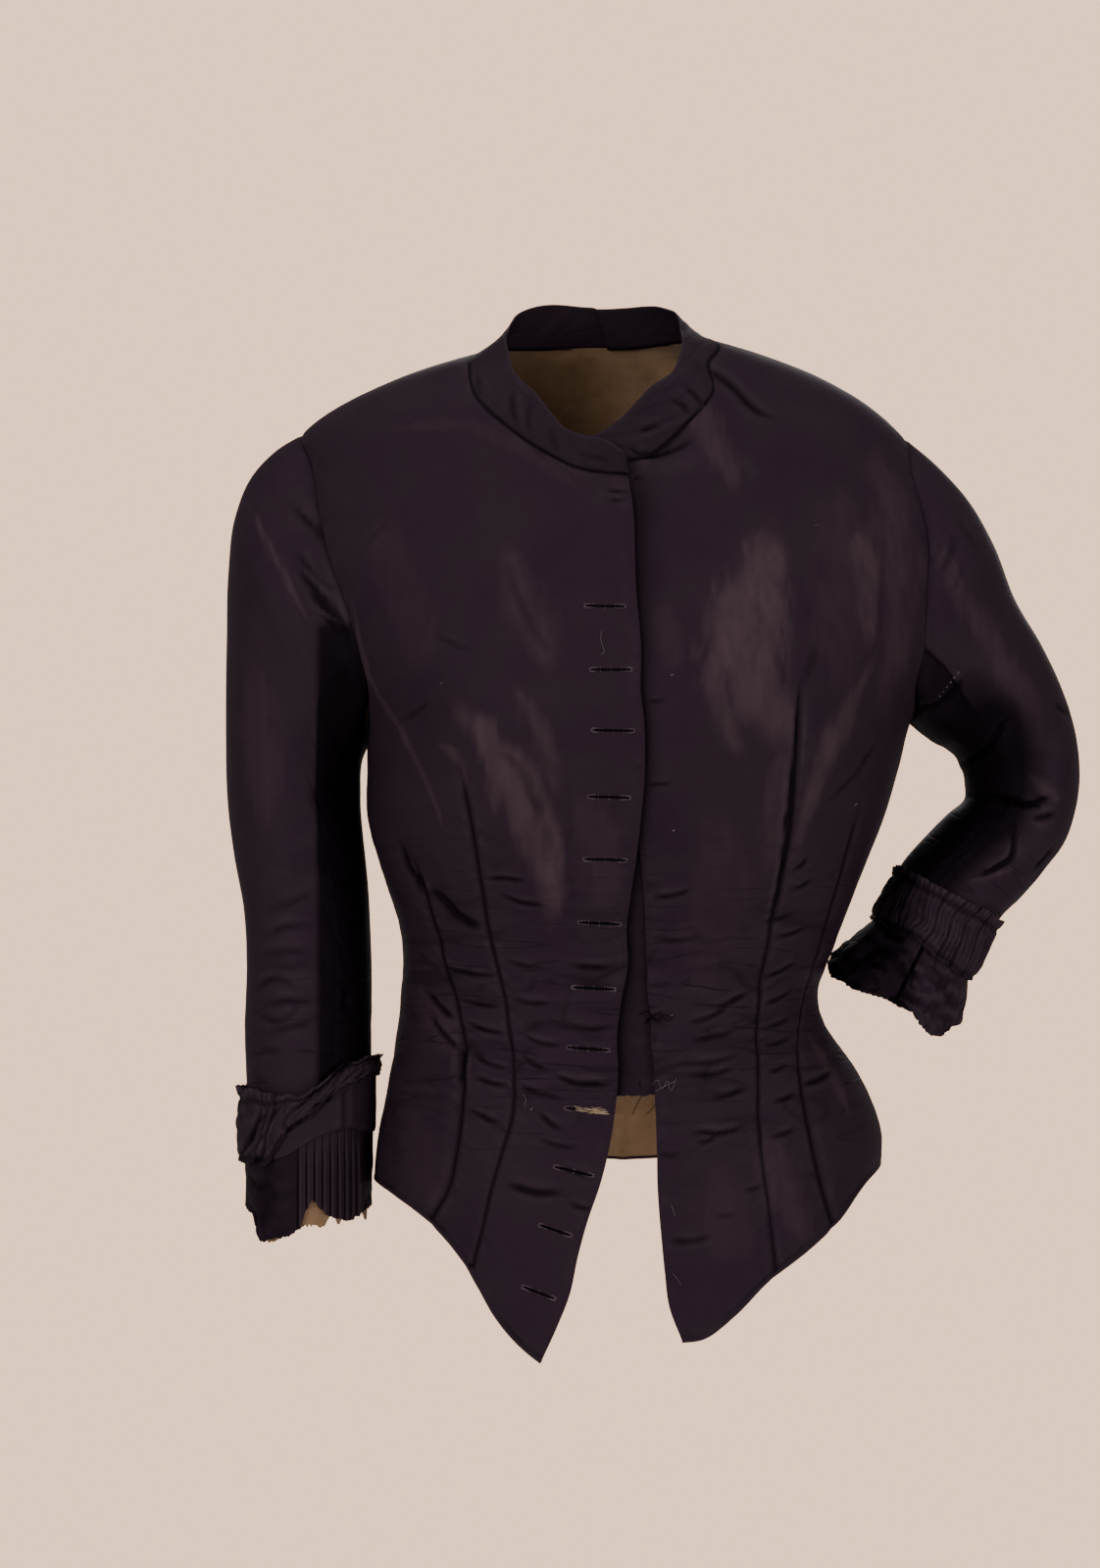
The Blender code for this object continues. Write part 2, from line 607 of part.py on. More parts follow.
def make_back(side, silk):
    sign = -1 if side == "right" else 1
    armhole = ARMHOLE_RIGHT if side == "right" else ARMHOLE_LEFT
    rows, columns = SIDE_ROWS + BACK_ARM_ROWS, BACK_NECK_COLUMNS + SHOULDER_COLUMNS
    arm = even_path(armhole[AT_SIDE_BACK:], BACK_ARM_ROWS)
    outer_edge = np.vstack([side_back_seam(side, SIDE_ROWS), arm[1:]])
    if side == "right":
        neck = neck_path(NECK_SHOULDER_RIGHT, NECK_CENTRE_BACK, BACK_NECK_COLUMNS)[:, :2]
    else:
        neck = neck_path(NECK_CENTRE_BACK, NECK_SHOULDER_LEFT, BACK_NECK_COLUMNS)[::-1, :2] + (360, 0)
    shoulder = even_path([armhole[0], neck[0]], SHOULDER_COLUMNS)
    top = np.vstack([shoulder, neck[1:]])
    hem_start = sided(SIDE_BACK, side)[0]
    bottom = even_path([hem_start, (sign * 180, BACK_HEM)], columns)
    centre = even_path([(sign * 180, BACK_HEM), (sign * 180, float(neck[-1, 1]))], rows)
    grid = coons(bottom, top, outer_edge, centre)
    normals = torso_normal(grid[..., 0], grid[..., 1])
    points = torso_point(grid[..., 0], grid[..., 1])
    outer, inner = wall(points, normals, WALL, ("left", "right", "top"))
    return mesh_from_walls(f"back_{side}", outer, inner, silk)


def make_underlap(silk):
    """The strip behind the front edges that shows where they part at the waist."""
    heights = np.linspace(UNDERLAP["bottom"], UNDERLAP["top"], UNDERLAP_ROWS + 1)[:, None]
    x = np.linspace(UNDERLAP["left_x"], UNDERLAP["right_x"], UNDERLAP_COLUMNS + 1)[None]
    x, heights = np.broadcast_arrays(x, heights)
    turn = turn_at(x.ravel(), heights.ravel()).reshape(x.shape)
    normals = torso_normal(turn, heights)
    outer = torso_point(turn, heights) - normals * UNDERLAP["depth"]
    outer, inner = wall(outer, normals, THIN_WALL)
    return mesh_from_walls("underlap", outer, inner, silk)


def make_collar(silk):
    """A stand collar: it rises from the neck seam and leans in to the neck."""
    last = len(NECK) - 1
    parts = (
        neck_path(0, NECK_SHOULDER_RIGHT, NECK_COLUMNS),
        neck_path(NECK_SHOULDER_RIGHT, NECK_CENTRE_BACK, BACK_NECK_COLUMNS)[1:],
        neck_path(NECK_CENTRE_BACK, NECK_SHOULDER_LEFT, BACK_NECK_COLUMNS)[1:],
        neck_path(NECK_SHOULDER_LEFT, last, NECK_COLUMNS)[1:],
    )
    along = np.vstack(parts)
    seam = torso_point(along[:, 0], along[:, 1])
    upper = along[:, 2:5]
    rise = np.linspace(0, 1, COLLAR_ROWS + 1)[:, None, None]
    outer = seam[None] + (upper - seam)[None] * rise
    foot = unit(upper - seam)
    outer[0] += foot * 0.45
    across = np.gradient(outer, axis=1)
    up = np.gradient(outer, axis=0)
    normals = unit(np.cross(across, up))
    normals *= np.sign((normals * outer * (1, 1, 0)).sum(axis=-1, keepdims=True))
    under = lap_depth(seam)
    under[:NECK_COLUMNS + BACK_NECK_COLUMNS] = 0
    outer = outer - normals * under[None, :, None]
    outer, inner = wall(outer, normals, WALL)
    inner[0] += foot * WALL * 0.8
    return mesh_from_walls("collar", outer, inner, silk)


def armhole_points(side):
    """The armhole's points in order, shared by the body pieces and the sleeve."""
    armhole = ARMHOLE_RIGHT if side == "right" else ARMHOLE_LEFT
    front = even_path(armhole[AT_SIDE_SEAM::-1], FRONT_ARM_ROWS)[::-1]
    under = even_path(armhole[AT_SIDE_SEAM:AT_SIDE_BACK + 1], SIDE_COLUMNS)
    back = even_path(armhole[AT_SIDE_BACK:], BACK_ARM_ROWS)
    return np.vstack([front[:-1], under[:-1], back[:-1]])


def sleeve_grid(side, rows):
    """Points of one sleeve, rows from the armhole down and columns round the arm."""
    table = np.array(SLEEVE_RIGHT if side == "right" else SLEEVE_LEFT, float)
    hole = armhole_points(side)
    start = torso_point(hole[:, 0], hole[:, 1])
    normals = torso_normal(hole[:, 0], hole[:, 1])
    middle = start.mean(axis=0)
    into_hole = middle - start
    into_hole = unit(into_hole - normals * (into_hole * normals).sum(axis=-1, keepdims=True))
    steps = np.linalg.norm(np.diff(np.vstack([start, start[:1]]), axis=0), axis=1)
    length = np.concatenate([[0], np.cumsum(steps)])
    under = FRONT_ARM_ROWS
    share = np.interp(length[:-1], [0, length[under], length[-1]], [0, 180, 360])
    angle = np.radians(share)
    rings = []
    for outer_x, outer_z, inner_x, inner_z, middle_y, half_depth in table:
        centre = np.array([(outer_x + inner_x) / 2, middle_y, (outer_z + inner_z) / 2])
        across = np.array([(outer_x - inner_x) / 2, 0, (outer_z - inner_z) / 2])
        front = np.array([0, -half_depth, 0])
        rings.append(centre + np.cos(angle)[:, None] * across + np.sin(angle)[:, None] * front)
    rings = np.array(rings)
    rest = start + (into_hole + normals) * 0.4 - rings[0]
    fade = 1 - smooth_step(np.arange(len(rings)) * 0.3)
    rings += fade[:, None, None] * rest
    travel = np.linalg.norm(np.diff(rings, axis=0), axis=2).mean(axis=1)
    knots = np.concatenate([[0], np.cumsum(travel)])
    at = np.linspace(0, knots[-1], rows + 1)
    grid = spline(knots, rings.reshape(len(rings), -1), at).reshape(rows + 1, -1, 3)
    return grid, np.degrees(angle)


def ring_normals(grid):
    """Outward directions of a tube given as rings."""
    across = np.roll(grid, -1, axis=1) - np.roll(grid, 1, axis=1)
    along = np.gradient(grid, axis=0)
    normals = unit(np.cross(across, along))
    centre = grid.mean(axis=1, keepdims=True)
    facing = np.sign(((grid - centre) * normals).sum(axis=-1).mean())
    return normals * facing


def make_sleeve(side, silk):
    """The upper and under sleeve, parted along the two long seams."""
    grid, angle = sleeve_grid(side, SLEEVE_ROWS[side])
    normals = ring_normals(grid)
    folds = SLEEVE_RIGHT_FOLDS if side == "right" else SLEEVE_LEFT_FOLDS
    front = smooth_step(-normals[..., 1] * 3)
    back = smooth_step(normals[..., 1] * 3)
    relief = -crease_depth(grid[..., 0], grid[..., 2], folds) * front
    relief -= crease_depth(grid[..., 0], grid[..., 2], SLEEVE_BACK_FOLDS[side]) * back
    relief[:1] = 0
    relief[-4:] = 0
    grid = grid + normals * relief[..., None]
    inner = grid - normals * WALL
    front_seam = int(np.argmin(np.abs(angle - FRONT_SEAM)))
    back_seam = int(np.argmin(np.abs(angle - BACK_SEAM)))
    count = len(angle)
    upper = [k % count for k in range(back_seam, count + front_seam + 1)]
    under = list(range(front_seam, back_seam + 1))
    pieces = []
    for name, columns in (("upper", upper), ("under", under)):
        part = grid[:, columns].copy()
        lining = inner[:, columns].copy()
        for here, beside in ((0, 1), (-1, -2)):
            shift = unit(part[:, beside] - part[:, here]) * HALF_GAP
            part[:, here] += shift
            lining[:, here] += shift
        pieces.append(mesh_from_walls(f"{name}_sleeve_{side}", part, lining, silk))
    return pieces


def cuff_line(table, angle, column=1):
    """A smooth value of a cuff table at each angle."""
    rows = np.array(table, float)
    return spline(rows[:, 0], rows[:, column:column + 1], angle)[:, 0]


def cuff_walls(name, side, angle, run, radius, material, closed=True):
    """A tube round the arm: angle per column, distance down and outer radius per row and column."""
    cuff = CUFFS[side]
    turn = np.radians(angle)[None, :, None]
    outward = np.cos(turn) * np.array(cuff["across"], float) + np.sin(turn) * np.array((0, -1, 0), float)
    middle = np.array(cuff["centre"], float) + run[..., None] * np.array(cuff["down"], float)
    outer = middle + outward * radius[..., None]
    inner = middle + outward * (radius[..., None] - THIN_WALL)
    return mesh_from_walls(name, outer, inner, material, closed=closed)


def gathers(angle, down, count, side):
    """Uneven gathers round the arm, 0 in a hollow and 1 on a crest."""
    shift = 0.9 if side == "right" else 2.1
    sway = shift * np.sin(np.radians(angle * 3 + 40)) + 0.9 * np.sin(down * 4 + angle / 20)
    return 0.5 + 0.5 * np.sin(np.radians(angle) * count + sway)


def make_ruche(side, silk):
    """The gathered band at the top of the cuff; its upper edge stands up as a small frill."""
    table, waves, base = (RUCHE_RIGHT, 18, 39.9) if side == "right" else (RUCHE_LEFT, 22, 33.8)
    angle = np.arange(waves * 4) * 90.0 / waves
    down = np.array((0, 0.16, 0.45, 0.75, 1))[:, None]
    top, bottom = cuff_line(table, angle, 1), cuff_line(table, angle, 2)
    run = top + (bottom - top) * down
    depth = np.interp(down, (0, 0.16, 0.45, 0.75, 1), (2.2, 1.0, 2.0, 2.2, 1.0))
    sink = np.interp(down, (0, 0.16, 0.45), (0.2, 1.2, 0)) if side == "right" else 0
    radius = base - sink + depth * gathers(angle[None], down, waves, side)
    return cuff_walls(f"ruche_{side}", side, angle, run, radius, silk)


def make_strap(silk):
    """The smooth strap that crosses the right cuff below its gathered band."""
    angle = np.linspace(STRAP_RIGHT[0][0], STRAP_RIGHT[-1][0], 27)
    lower = cuff_line(STRAP_RIGHT, angle)
    upper = np.minimum(cuff_line(RUCHE_RIGHT, angle, 2), lower) - 5
    run = upper + (lower - upper) * np.linspace(0, 1, 3)[:, None]
    return cuff_walls("cuff_strap_right", "right", angle, run, np.full(run.shape, 38.3), silk, closed=False)


def pleat_columns():
    """Angles of the right flounce's columns, and how high each lies in its pleat, 0 to 1."""
    columns = [(angle, 0.25) for angle in np.linspace(0, PLEATS_RIGHT[0][0], 15)[:-1]]
    for (first, last, count), beyond in zip(PLEATS_RIGHT, (PLEATS_RIGHT[1][0], 360)):
        pitch = (last - first) / count
        for k in range(count):
            pleat = ((0, 0), (0.3, 1), (0.65, 0.6))
            columns += [(first + (k + share) * pitch, lift) for share, lift in pleat]
        columns += [(angle, 0.25) for angle in np.linspace(last, beyond, 6)[:-1]]
    return np.array(columns).T


def make_flounce(side, silk):
    """The lower frill of the cuff: knife pleats on the right, a loose flared strip on the left."""
    down = np.array((0, 0.3, 0.62, 1))[:, None]
    if side == "right":
        angle, lift = pleat_columns()
        on_strap = (angle > STRAP_RIGHT[0][0]) & (angle < STRAP_RIGHT[-1][0])
        seam = np.where(on_strap, cuff_line(STRAP_RIGHT, angle), cuff_line(RUCHE_RIGHT, angle, 2))
        bottom = cuff_line(FLOUNCE_RIGHT, angle)
        seam = np.minimum(seam, bottom - 20)
        places = np.array((0, 1, 1.45, 2))[:, None]
        run = np.where(places <= 1, 15 + (seam - 15) * places, seam + (bottom - seam) * (places - 1))
        radius = 36.4 + 0.3 * lift + np.array((0, 0, 1, 1))[:, None] * (1.5 * lift - 0.8)
        return cuff_walls("flounce_right", side, angle, run, radius, silk)
    angle = np.linspace(FLOUNCE_LEFT[0][0], FLOUNCE_LEFT[-1][0], 61)
    seam = cuff_line(RUCHE_LEFT, angle % 360, 2)
    bottom = cuff_line(FLOUNCE_LEFT, angle)
    places = np.array((0, 1, 1.5, 2))[:, None]
    run = np.where(places <= 1, 22 + (seam - 22) * places, seam + (bottom - seam) * (places - 1))
    flare = 9.5 - 3.5 * np.cos(np.radians(angle))
    crumple = 1.6 * np.sin(np.radians(angle * 7)) + 0.9 * np.sin(np.radians(angle * 12 + 50))
    radius = 31.8 + np.array((0, 0, 0.55, 1))[:, None] * (flare + crumple)
    return cuff_walls("flounce_left", side, angle, run, radius, silk, closed=False)


def make_lining(tan):
    """The worn lining inside the right flounce, ragged at its lower edge."""
    angle = np.array([row[0] for row in LINING_RIGHT[:-1]], float)
    angle = np.sort(np.concatenate([angle, (20, 200, 235, 250, 285, 300, 340)]))
    bottom = cuff_line(LINING_RIGHT, angle)
    run = 26.35 + (bottom - 26.35) * np.linspace(0, 1, 3)[:, None]
    return cuff_walls("cuff_lining_right", "right", angle, run, np.full(run.shape, 33.4), tan)


def clear_scene():
    for thing in list(bpy.data.objects):
        bpy.data.objects.remove(thing, do_unlink=True)
    collection = bpy.data.collections.new(COLLECTION_NAME)
    bpy.context.scene.collection.children.link(collection)


def main():
    clear_scene()
    silk = new_material("plum silk")
    for side in ("right", "left"):
        make_front(side, silk)
        make_side_back(side, silk)
        make_back(side, silk)
        make_sleeve(side, silk)
        make_ruche(side, silk)
        make_flounce(side, silk)
    make_strap(silk)
    make_lining(new_material("tan lining"))
    make_underlap(silk)
    make_collar(silk)


main()
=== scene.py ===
# %% [markdown]
# # A bustle jacket in plum-black silk
#
# A bustle jacket is the close-fitting bodice of an 1880s dress. It is cut in panels that are seamed
# and darted until flat silk fits a rounded body, so we build it the same way: every panel is a grid
# of points laid on one torso surface, given a thickness, and sewn edge to edge with its neighbours.
#
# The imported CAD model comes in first. It fixes every size, and each piece of cloth made below takes
# the place of one CAD node. Piping, stitches and threads are added to them.
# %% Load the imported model
import math

import bpy
import numpy as np
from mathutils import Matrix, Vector
from mathutils.bvhtree import BVHTree


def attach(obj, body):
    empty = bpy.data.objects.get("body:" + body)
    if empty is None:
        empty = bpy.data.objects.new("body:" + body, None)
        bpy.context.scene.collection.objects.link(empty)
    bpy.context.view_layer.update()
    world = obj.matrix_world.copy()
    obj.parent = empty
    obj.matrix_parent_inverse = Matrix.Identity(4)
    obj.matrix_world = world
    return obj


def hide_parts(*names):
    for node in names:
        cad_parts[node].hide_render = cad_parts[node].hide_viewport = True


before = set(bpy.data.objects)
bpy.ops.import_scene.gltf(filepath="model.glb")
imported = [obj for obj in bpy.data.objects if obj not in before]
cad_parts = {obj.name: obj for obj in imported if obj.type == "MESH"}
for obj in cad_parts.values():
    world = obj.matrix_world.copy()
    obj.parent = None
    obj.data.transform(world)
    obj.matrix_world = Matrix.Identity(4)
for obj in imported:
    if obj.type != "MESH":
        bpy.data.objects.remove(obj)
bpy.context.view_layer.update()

# %% [markdown]
# ## Camera
#
# The jacket is seen straight from the front, from a little over two metres, so the lens is long and
# the two sides of the body hardly narrow. It is about level with the middle of the jacket.
# %% Camera
MM = 0.001
CAMERA_PLACE = (-0.02296, -2.2, -0.25088)
FRAME_HEIGHT = 0.896
SENSOR = 24.0


def link(name, data):
    """A new object in the scene."""
    new = bpy.data.objects.new(name, data)
    bpy.context.scene.collection.objects.link(new)
    return new


camera = link("camera", bpy.data.cameras.new("camera"))
camera.location = CAMERA_PLACE
camera.rotation_euler = (math.radians(90), 0, 0)
camera.data.sensor_fit = "VERTICAL"
camera.data.sensor_height = SENSOR
camera.data.lens = SENSOR * -CAMERA_PLACE[1] / FRAME_HEIGHT
camera.data.clip_end = 50
bpy.context.scene.camera = camera
print("lens in mm:", round(camera.data.lens, 2))

# %% [markdown]
# ## Floor and light
#
# Dark silk shows its folds only by what it reflects, so it needs large soft lights. One big panel
# stands to the left of the picture, a weaker one low on the right, a long one overhead draws the
# shoulders, and one behind lights the back. The room is a plain warm wall: it is seen bright but
# lights the silk only a little, as a wall far behind would, or the shadows would all be grey. The
# floor is pale.
# %% Floor and light
WALL_SEEN = (1.86, 1.21, 0.83, 1)
ROOM_LIGHT = (0.62, 0.56, 0.52, 1)
ROOM_STRENGTH = 0.5
PAPER = (0.78, 0.77, 0.74, 1)
FLOOR_HEIGHT, FLOOR_RADIUS, FLOOR_SIDES = -1.25, 2.4, 64


def put(tree, kind, links=None, **settings):
    """A node with its settings; links maps an input's name or number to a socket or a value."""
    node = tree.nodes.new(kind)
    for key, value in settings.items():
        setattr(node, key, value)
    for key, value in (links or {}).items():
        socket = node.inputs[key]
        if isinstance(value, bpy.types.NodeSocket):
            tree.links.new(value, socket)
        else:
            socket.default_value = value
    return node


def new_material(name, inputs):
    """A material whose shader has these input values, with its tree and its shader."""
    material = bpy.data.materials.new(name)
    material.use_nodes = True
    shader = material.node_tree.nodes["Principled BSDF"]
    for label, value in inputs.items():
        shader.inputs[label].default_value = value
    return material, material.node_tree, shader


def soft_light(name, place, aim, size, power):
    """A large rectangular area light that looks at a point."""
    data = bpy.data.lights.new(name, "AREA")
    data.shape = "RECTANGLE"
    data.size, data.size_y = size
    data.energy = power
    light = link(name, data)
    light.location = place
    light.rotation_euler = (Vector(aim) - Vector(place)).to_track_quat("-Z", "Y").to_euler()


world = bpy.data.worlds.new("studio")
world.use_nodes = True
studio = world.node_tree
room = studio.nodes["Background"]
room.inputs["Color"].default_value = ROOM_LIGHT
room.inputs["Strength"].default_value = ROOM_STRENGTH
wall_seen = put(studio, "ShaderNodeBackground", {"Color": WALL_SEEN})
ray = put(studio, "ShaderNodeLightPath")
either = put(studio, "ShaderNodeMixShader",
             {0: ray.outputs["Is Camera Ray"], 1: room.outputs[0], 2: wall_seen.outputs[0]})
studio.links.new(either.outputs[0], studio.nodes["World Output"].inputs["Surface"])
bpy.context.scene.world = world

soft_light("key", (-1.5, -2.4, 0.3), (0, 0, -0.25), (1.8, 1.8), 36)
soft_light("fill", (1.8, -2.0, -0.7), (0, 0, -0.25), (1.8, 1.8), 27)
soft_light("top", (0, -0.3, 1.7), (0, 0, -0.2), (1.6, 1.0), 16)
soft_light("back", (0.4, 2.2, 0.8), (0, 0, -0.2), (1.8, 1.4), 14)

turns = np.linspace(0, 2 * math.pi, FLOOR_SIDES + 1)[:-1]
floor_ring = [(FLOOR_RADIUS * math.cos(turn), FLOOR_RADIUS * math.sin(turn), FLOOR_HEIGHT) for turn in turns]
floor_mesh = bpy.data.meshes.new("floor")
floor_mesh.from_pydata(floor_ring, [], [tuple(range(FLOOR_SIDES))])
floor_mesh.materials.append(new_material("pale paper", {"Base Color": PAPER, "Roughness": 0.9})[0])
floor = link("floor", floor_mesh)

# %% [markdown]
# ## Shader groups
#
# Every silk piece shares the same weave, so the weave is a node group that is built once. The silk
# is a faille: fat crosswise threads make fine ribs. The ribs follow the cloth, so the group reads
# the piece's own UV map, which holds metres round and along the cloth. A second group reads Object
# coordinates. It gives slow smoky patches, where old silk has faded and bloomed, fine specks, and
# the long streaks that break up the painted sheen.
# %% Node helpers
FLOAT, VECTOR = "NodeSocketFloat", "NodeSocketVector"


def new_group(name, inputs, outputs):
    """An empty shader group with named inputs (type, default) and outputs."""
    group = bpy.data.node_groups.new(name, "ShaderNodeTree")
    for label, (kind, default) in inputs.items():
        socket = group.interface.new_socket(label, in_out="INPUT", socket_type=kind)
        if default is not None:
            socket.default_value = default
    for label, kind in outputs.items():
        group.interface.new_socket(label, in_out="OUTPUT", socket_type=kind)
    return group, group.nodes.new("NodeGroupInput"), group.nodes.new("NodeGroupOutput")


def sums(tree, operation, first, second=0.0, third=None):
    """The result of one Math node."""
    values = {0: first, 1: second}
    if third is not None:
        values[2] = third
    return put(tree, "ShaderNodeMath", values, operation=operation).outputs[0]


def stretched(tree, place, scale):
    """A place with each of its three parts multiplied."""
    return put(tree, "ShaderNodeVectorMath", {0: place, 1: scale}, operation="MULTIPLY").outputs[0]


def noise(tree, place, scale, detail, **more):
    """The value of a noise texture at a place."""
    inputs = {"Vector": place, "Scale": scale, "Detail": detail, **more}
    return put(tree, "ShaderNodeTexNoise", inputs).outputs[0]


def mapped(tree, value, *ends):
    """A value mapped from the first two ends to 0 and 1, or to the last two ends."""
    return put(tree, "ShaderNodeMapRange", dict(enumerate((value, *ends)))).outputs[0]


# %% The faille weave
RIB_PITCH = 0.0007

faille, given, result = new_group(
    "faille_weave",
    {"Flat": (VECTOR, None), "Rib pitch": (FLOAT, RIB_PITCH), "Slub": (FLOAT, 0.5)},
    {"Height": FLOAT},
)
flat_parts = put(faille, "ShaderNodeSeparateXYZ", {0: given.outputs["Flat"]})
slub = noise(faille, stretched(faille, given.outputs["Flat"], (90, 900, 1)), 1.0, 2.0)
rib_number = sums(faille, "DIVIDE", flat_parts.outputs["Y"], given.outputs["Rib pitch"])
rib_turn = sums(faille, "MULTIPLY_ADD", rib_number, 2 * math.pi, sums(faille, "MULTIPLY", slub, 4.0))
ribs = sums(faille, "MULTIPLY_ADD", sums(faille, "SINE", rib_turn), 0.5, 0.5)
slub_height = sums(faille, "MULTIPLY", slub, given.outputs["Slub"])
faille.links.new(sums(faille, "ADD", ribs, slub_height), result.inputs["Height"])

# %% Smoky patches
smoke, given, result = new_group(
    "smoky_bloom",
    {"Place": (VECTOR, None), "Patch size": (FLOAT, 0.05)},
    {"Bloom": FLOAT, "Speck": FLOAT, "Streak": FLOAT},
)
place = given.outputs["Place"]
patches = noise(smoke, place, sums(smoke, "DIVIDE", 1.0, given.outputs["Patch size"]), 5.0, Roughness=0.62)
specks = noise(smoke, place, 900.0, 2.0)
streaks = noise(smoke, stretched(smoke, place, (170, 170, 11)), 1.0, 4.0)
for label, value, *ends in (
    ("Bloom", patches, 0.36, 0.68),
    ("Speck", specks, 0.66, 0.82),
    ("Streak", streaks, 0.34, 0.66, 0.68, 1.16),
):
    smoke.links.new(mapped(smoke, value, *ends), result.inputs[label])

# %% [markdown]
# ## Hair creases
#
# Worn silk breaks into creases no wider than a thread. They are too fine for the mesh, so they are
# drawn where a stretched noise passes its middle value: that gives long closed lines that never
# repeat. A second noise breaks them up. The group gives them as a mask: the silk paints shade into
# the lines and bumps them.
# %% Hair creases
creasing, given, result = new_group(
    "hair_creases",
    {"Flat": (VECTOR, None), "Length": (FLOAT, 0.034), "Spacing": (FLOAT, 0.008)},
    {"Lines": FLOAT, "Height": FLOAT},
)
crease_scale = put(creasing, "ShaderNodeCombineXYZ",
                   {0: sums(creasing, "DIVIDE", 1.0, given.outputs["Length"]),
                    1: sums(creasing, "DIVIDE", 1.0, given.outputs["Spacing"]), 2: 1.0})
crease_place = stretched(creasing, given.outputs["Flat"], crease_scale.outputs[0])
crease_noise = noise(creasing, crease_place, 1.0, 1.0, Roughness=0.4, Distortion=0.1)
from_middle = sums(creasing, "ABSOLUTE", sums(creasing, "SUBTRACT", crease_noise, 0.5))
thin = mapped(creasing, from_middle, 0.0, 0.03, 1.0, 0.0)
broken_noise = noise(creasing, stretched(creasing, given.outputs["Flat"], (30, 60, 1)), 1.0, 2.0)
hair_lines = sums(creasing, "MULTIPLY", thin, mapped(creasing, broken_noise, 0.38, 0.58))
creasing.links.new(hair_lines, result.inputs["Lines"])
creasing.links.new(sums(creasing, "SUBTRACT", crease_noise, hair_lines), result.inputs["Height"])

# %% [markdown]
# ## Silk
#
# The silk is a very dark plum. It is never flat black: the bloom lifts it towards a brown grey, the
# folds' crests are painted paler, as rubbed wear and as highlight, and the cloth is painted darker
# as shade beside the seams, in troughs and creases and where a part lies in shade. Each mesh carries
# four values that steer this: one for the paler crests, one for the painted shade, one for broad
# streaks of painted sheen and one for hair creases. The shader's own sheen is soft because the ribs
# scatter it, so the roughness stays near a half.
# %% Silk and lining materials
# Plum and bloom are the silk's own tones. The third is a painted highlight, for streaks of sheen. The fourth
# paints crests paler, as rubbed wear and as highlight, and colours the specks. The last paints shade in
# seams, troughs, creases and shaded parts, and is also the dark tone of the worn piping.
PLUM = (0.0235, 0.0125, 0.0225, 1)
PLUM_BLOOM = (0.0290, 0.0185, 0.0250, 1)
PLUM_PAINTED_SHEEN = (0.0680, 0.0420, 0.0500, 1)
PLUM_WORN_AND_HIGHLIGHT = (0.0620, 0.0450, 0.0520, 1)
PLUM_DEEP = (0.0022, 0.0013, 0.0024, 1)


def mixed(tree, share, first, second):
    """One colour over another by a share."""
    return put(tree, "ShaderNodeMix", {"Factor": share, 6: first, 7: second}, data_type="RGBA").outputs[2]


def own_value(tree, name):
    """A value that the mesh carries at each point."""
    return put(tree, "ShaderNodeAttribute", attribute_name=name, attribute_type="GEOMETRY").outputs["Fac"]


# %% Cloth materials
def cloth_material(name, roughness, sheen, specular):
    """A new material and its tree, shader, UV and Object coordinates."""
    material, tree, shader = new_material(name, {"Roughness": roughness, "Sheen Weight": sheen,
                                                 "Sheen Roughness": 0.45, "Specular IOR Level": specular})
    flat = put(tree, "ShaderNodeUVMap", uv_map="cloth").outputs[0]
    place = put(tree, "ShaderNodeTexCoord").outputs["Object"]
    return material, tree, shader, flat, place


def silk_material(name, tone, specular=0.035, shade=1.0):
    """Plum silk; tone scales how much bloom shows, shade darkens all of it as painted shade."""
    material, tree, shader, flat, place = cloth_material(name, 0.5, 0.0, specular)
    shader.inputs["Specular Tint"].default_value = (1.0, 0.72, 0.95, 1)
    plum, paler, gloss, worn = (tuple(shade * part for part in colour[:3]) + (1,)
                                for colour in (PLUM, PLUM_BLOOM, PLUM_PAINTED_SHEEN, PLUM_WORN_AND_HIGHLIGHT))
    bloom = put(tree, "ShaderNodeGroup", {"Place": place, "Patch size": 0.055}, node_tree=smoke)
    faded = mixed(tree, sums(tree, "MULTIPLY", bloom.outputs["Bloom"], tone), plum, paler)
    specked = mixed(tree, sums(tree, "MULTIPLY", bloom.outputs["Speck"], 0.25), faded, worn)
    # Painted highlight: streaks of sheen, broken by the long streaks, lighten the colour.
    sheen = sums(tree, "MULTIPLY", own_value(tree, "glossed"), bloom.outputs["Streak"])
    glossed = mixed(tree, sheen, specked, gloss)
    # Crests painted paler, partly as rubbed wear and partly as highlight.
    rubbed = mixed(tree, own_value(tree, "rubbed"), glossed, worn)
    hair = put(tree, "ShaderNodeGroup", {"Flat": flat, "Length": 0.075, "Spacing": 0.011}, node_tree=creasing)
    creased = own_value(tree, "creased")
    # Painted shade: the mesh's shade value and the hair creases' lines darken the colour towards the darkest
    # plum.
    lines = sums(tree, "MULTIPLY", hair.outputs["Lines"], creased)
    deep = sums(tree, "MAXIMUM", own_value(tree, "sunk"), sums(tree, "MULTIPLY", lines, 0.45))
    tree.links.new(mixed(tree, deep, rubbed, PLUM_DEEP), shader.inputs["Base Color"])
    rough = sums(tree, "MULTIPLY_ADD", bloom.outputs["Bloom"], 0.12, 0.44)
    tree.links.new(rough, shader.inputs["Roughness"])
    weave = put(tree, "ShaderNodeGroup", {"Flat": flat, "Rib pitch": RIB_PITCH}, node_tree=faille)
    folded = sums(tree, "MULTIPLY", hair.outputs["Height"], sums(tree, "ADD", creased, 0.04))
    coarse = put(tree, "ShaderNodeBump", {"Height": folded, "Strength": 0.6, "Distance": 0.0008})
    fine = put(tree, "ShaderNodeBump", {"Height": weave.outputs["Height"], "Strength": 0.35,
                                        "Distance": 0.00007, "Normal": coarse.outputs[0]})
    tree.links.new(fine.outputs[0], shader.inputs["Normal"])
    return material


silk = silk_material("plum silk", 0.75)
# A darker copy of the silk: painted shade for the under sleeves.
painted_shade_silk = silk_material("plum silk half in shade", 0.6, 0.03, 0.55)

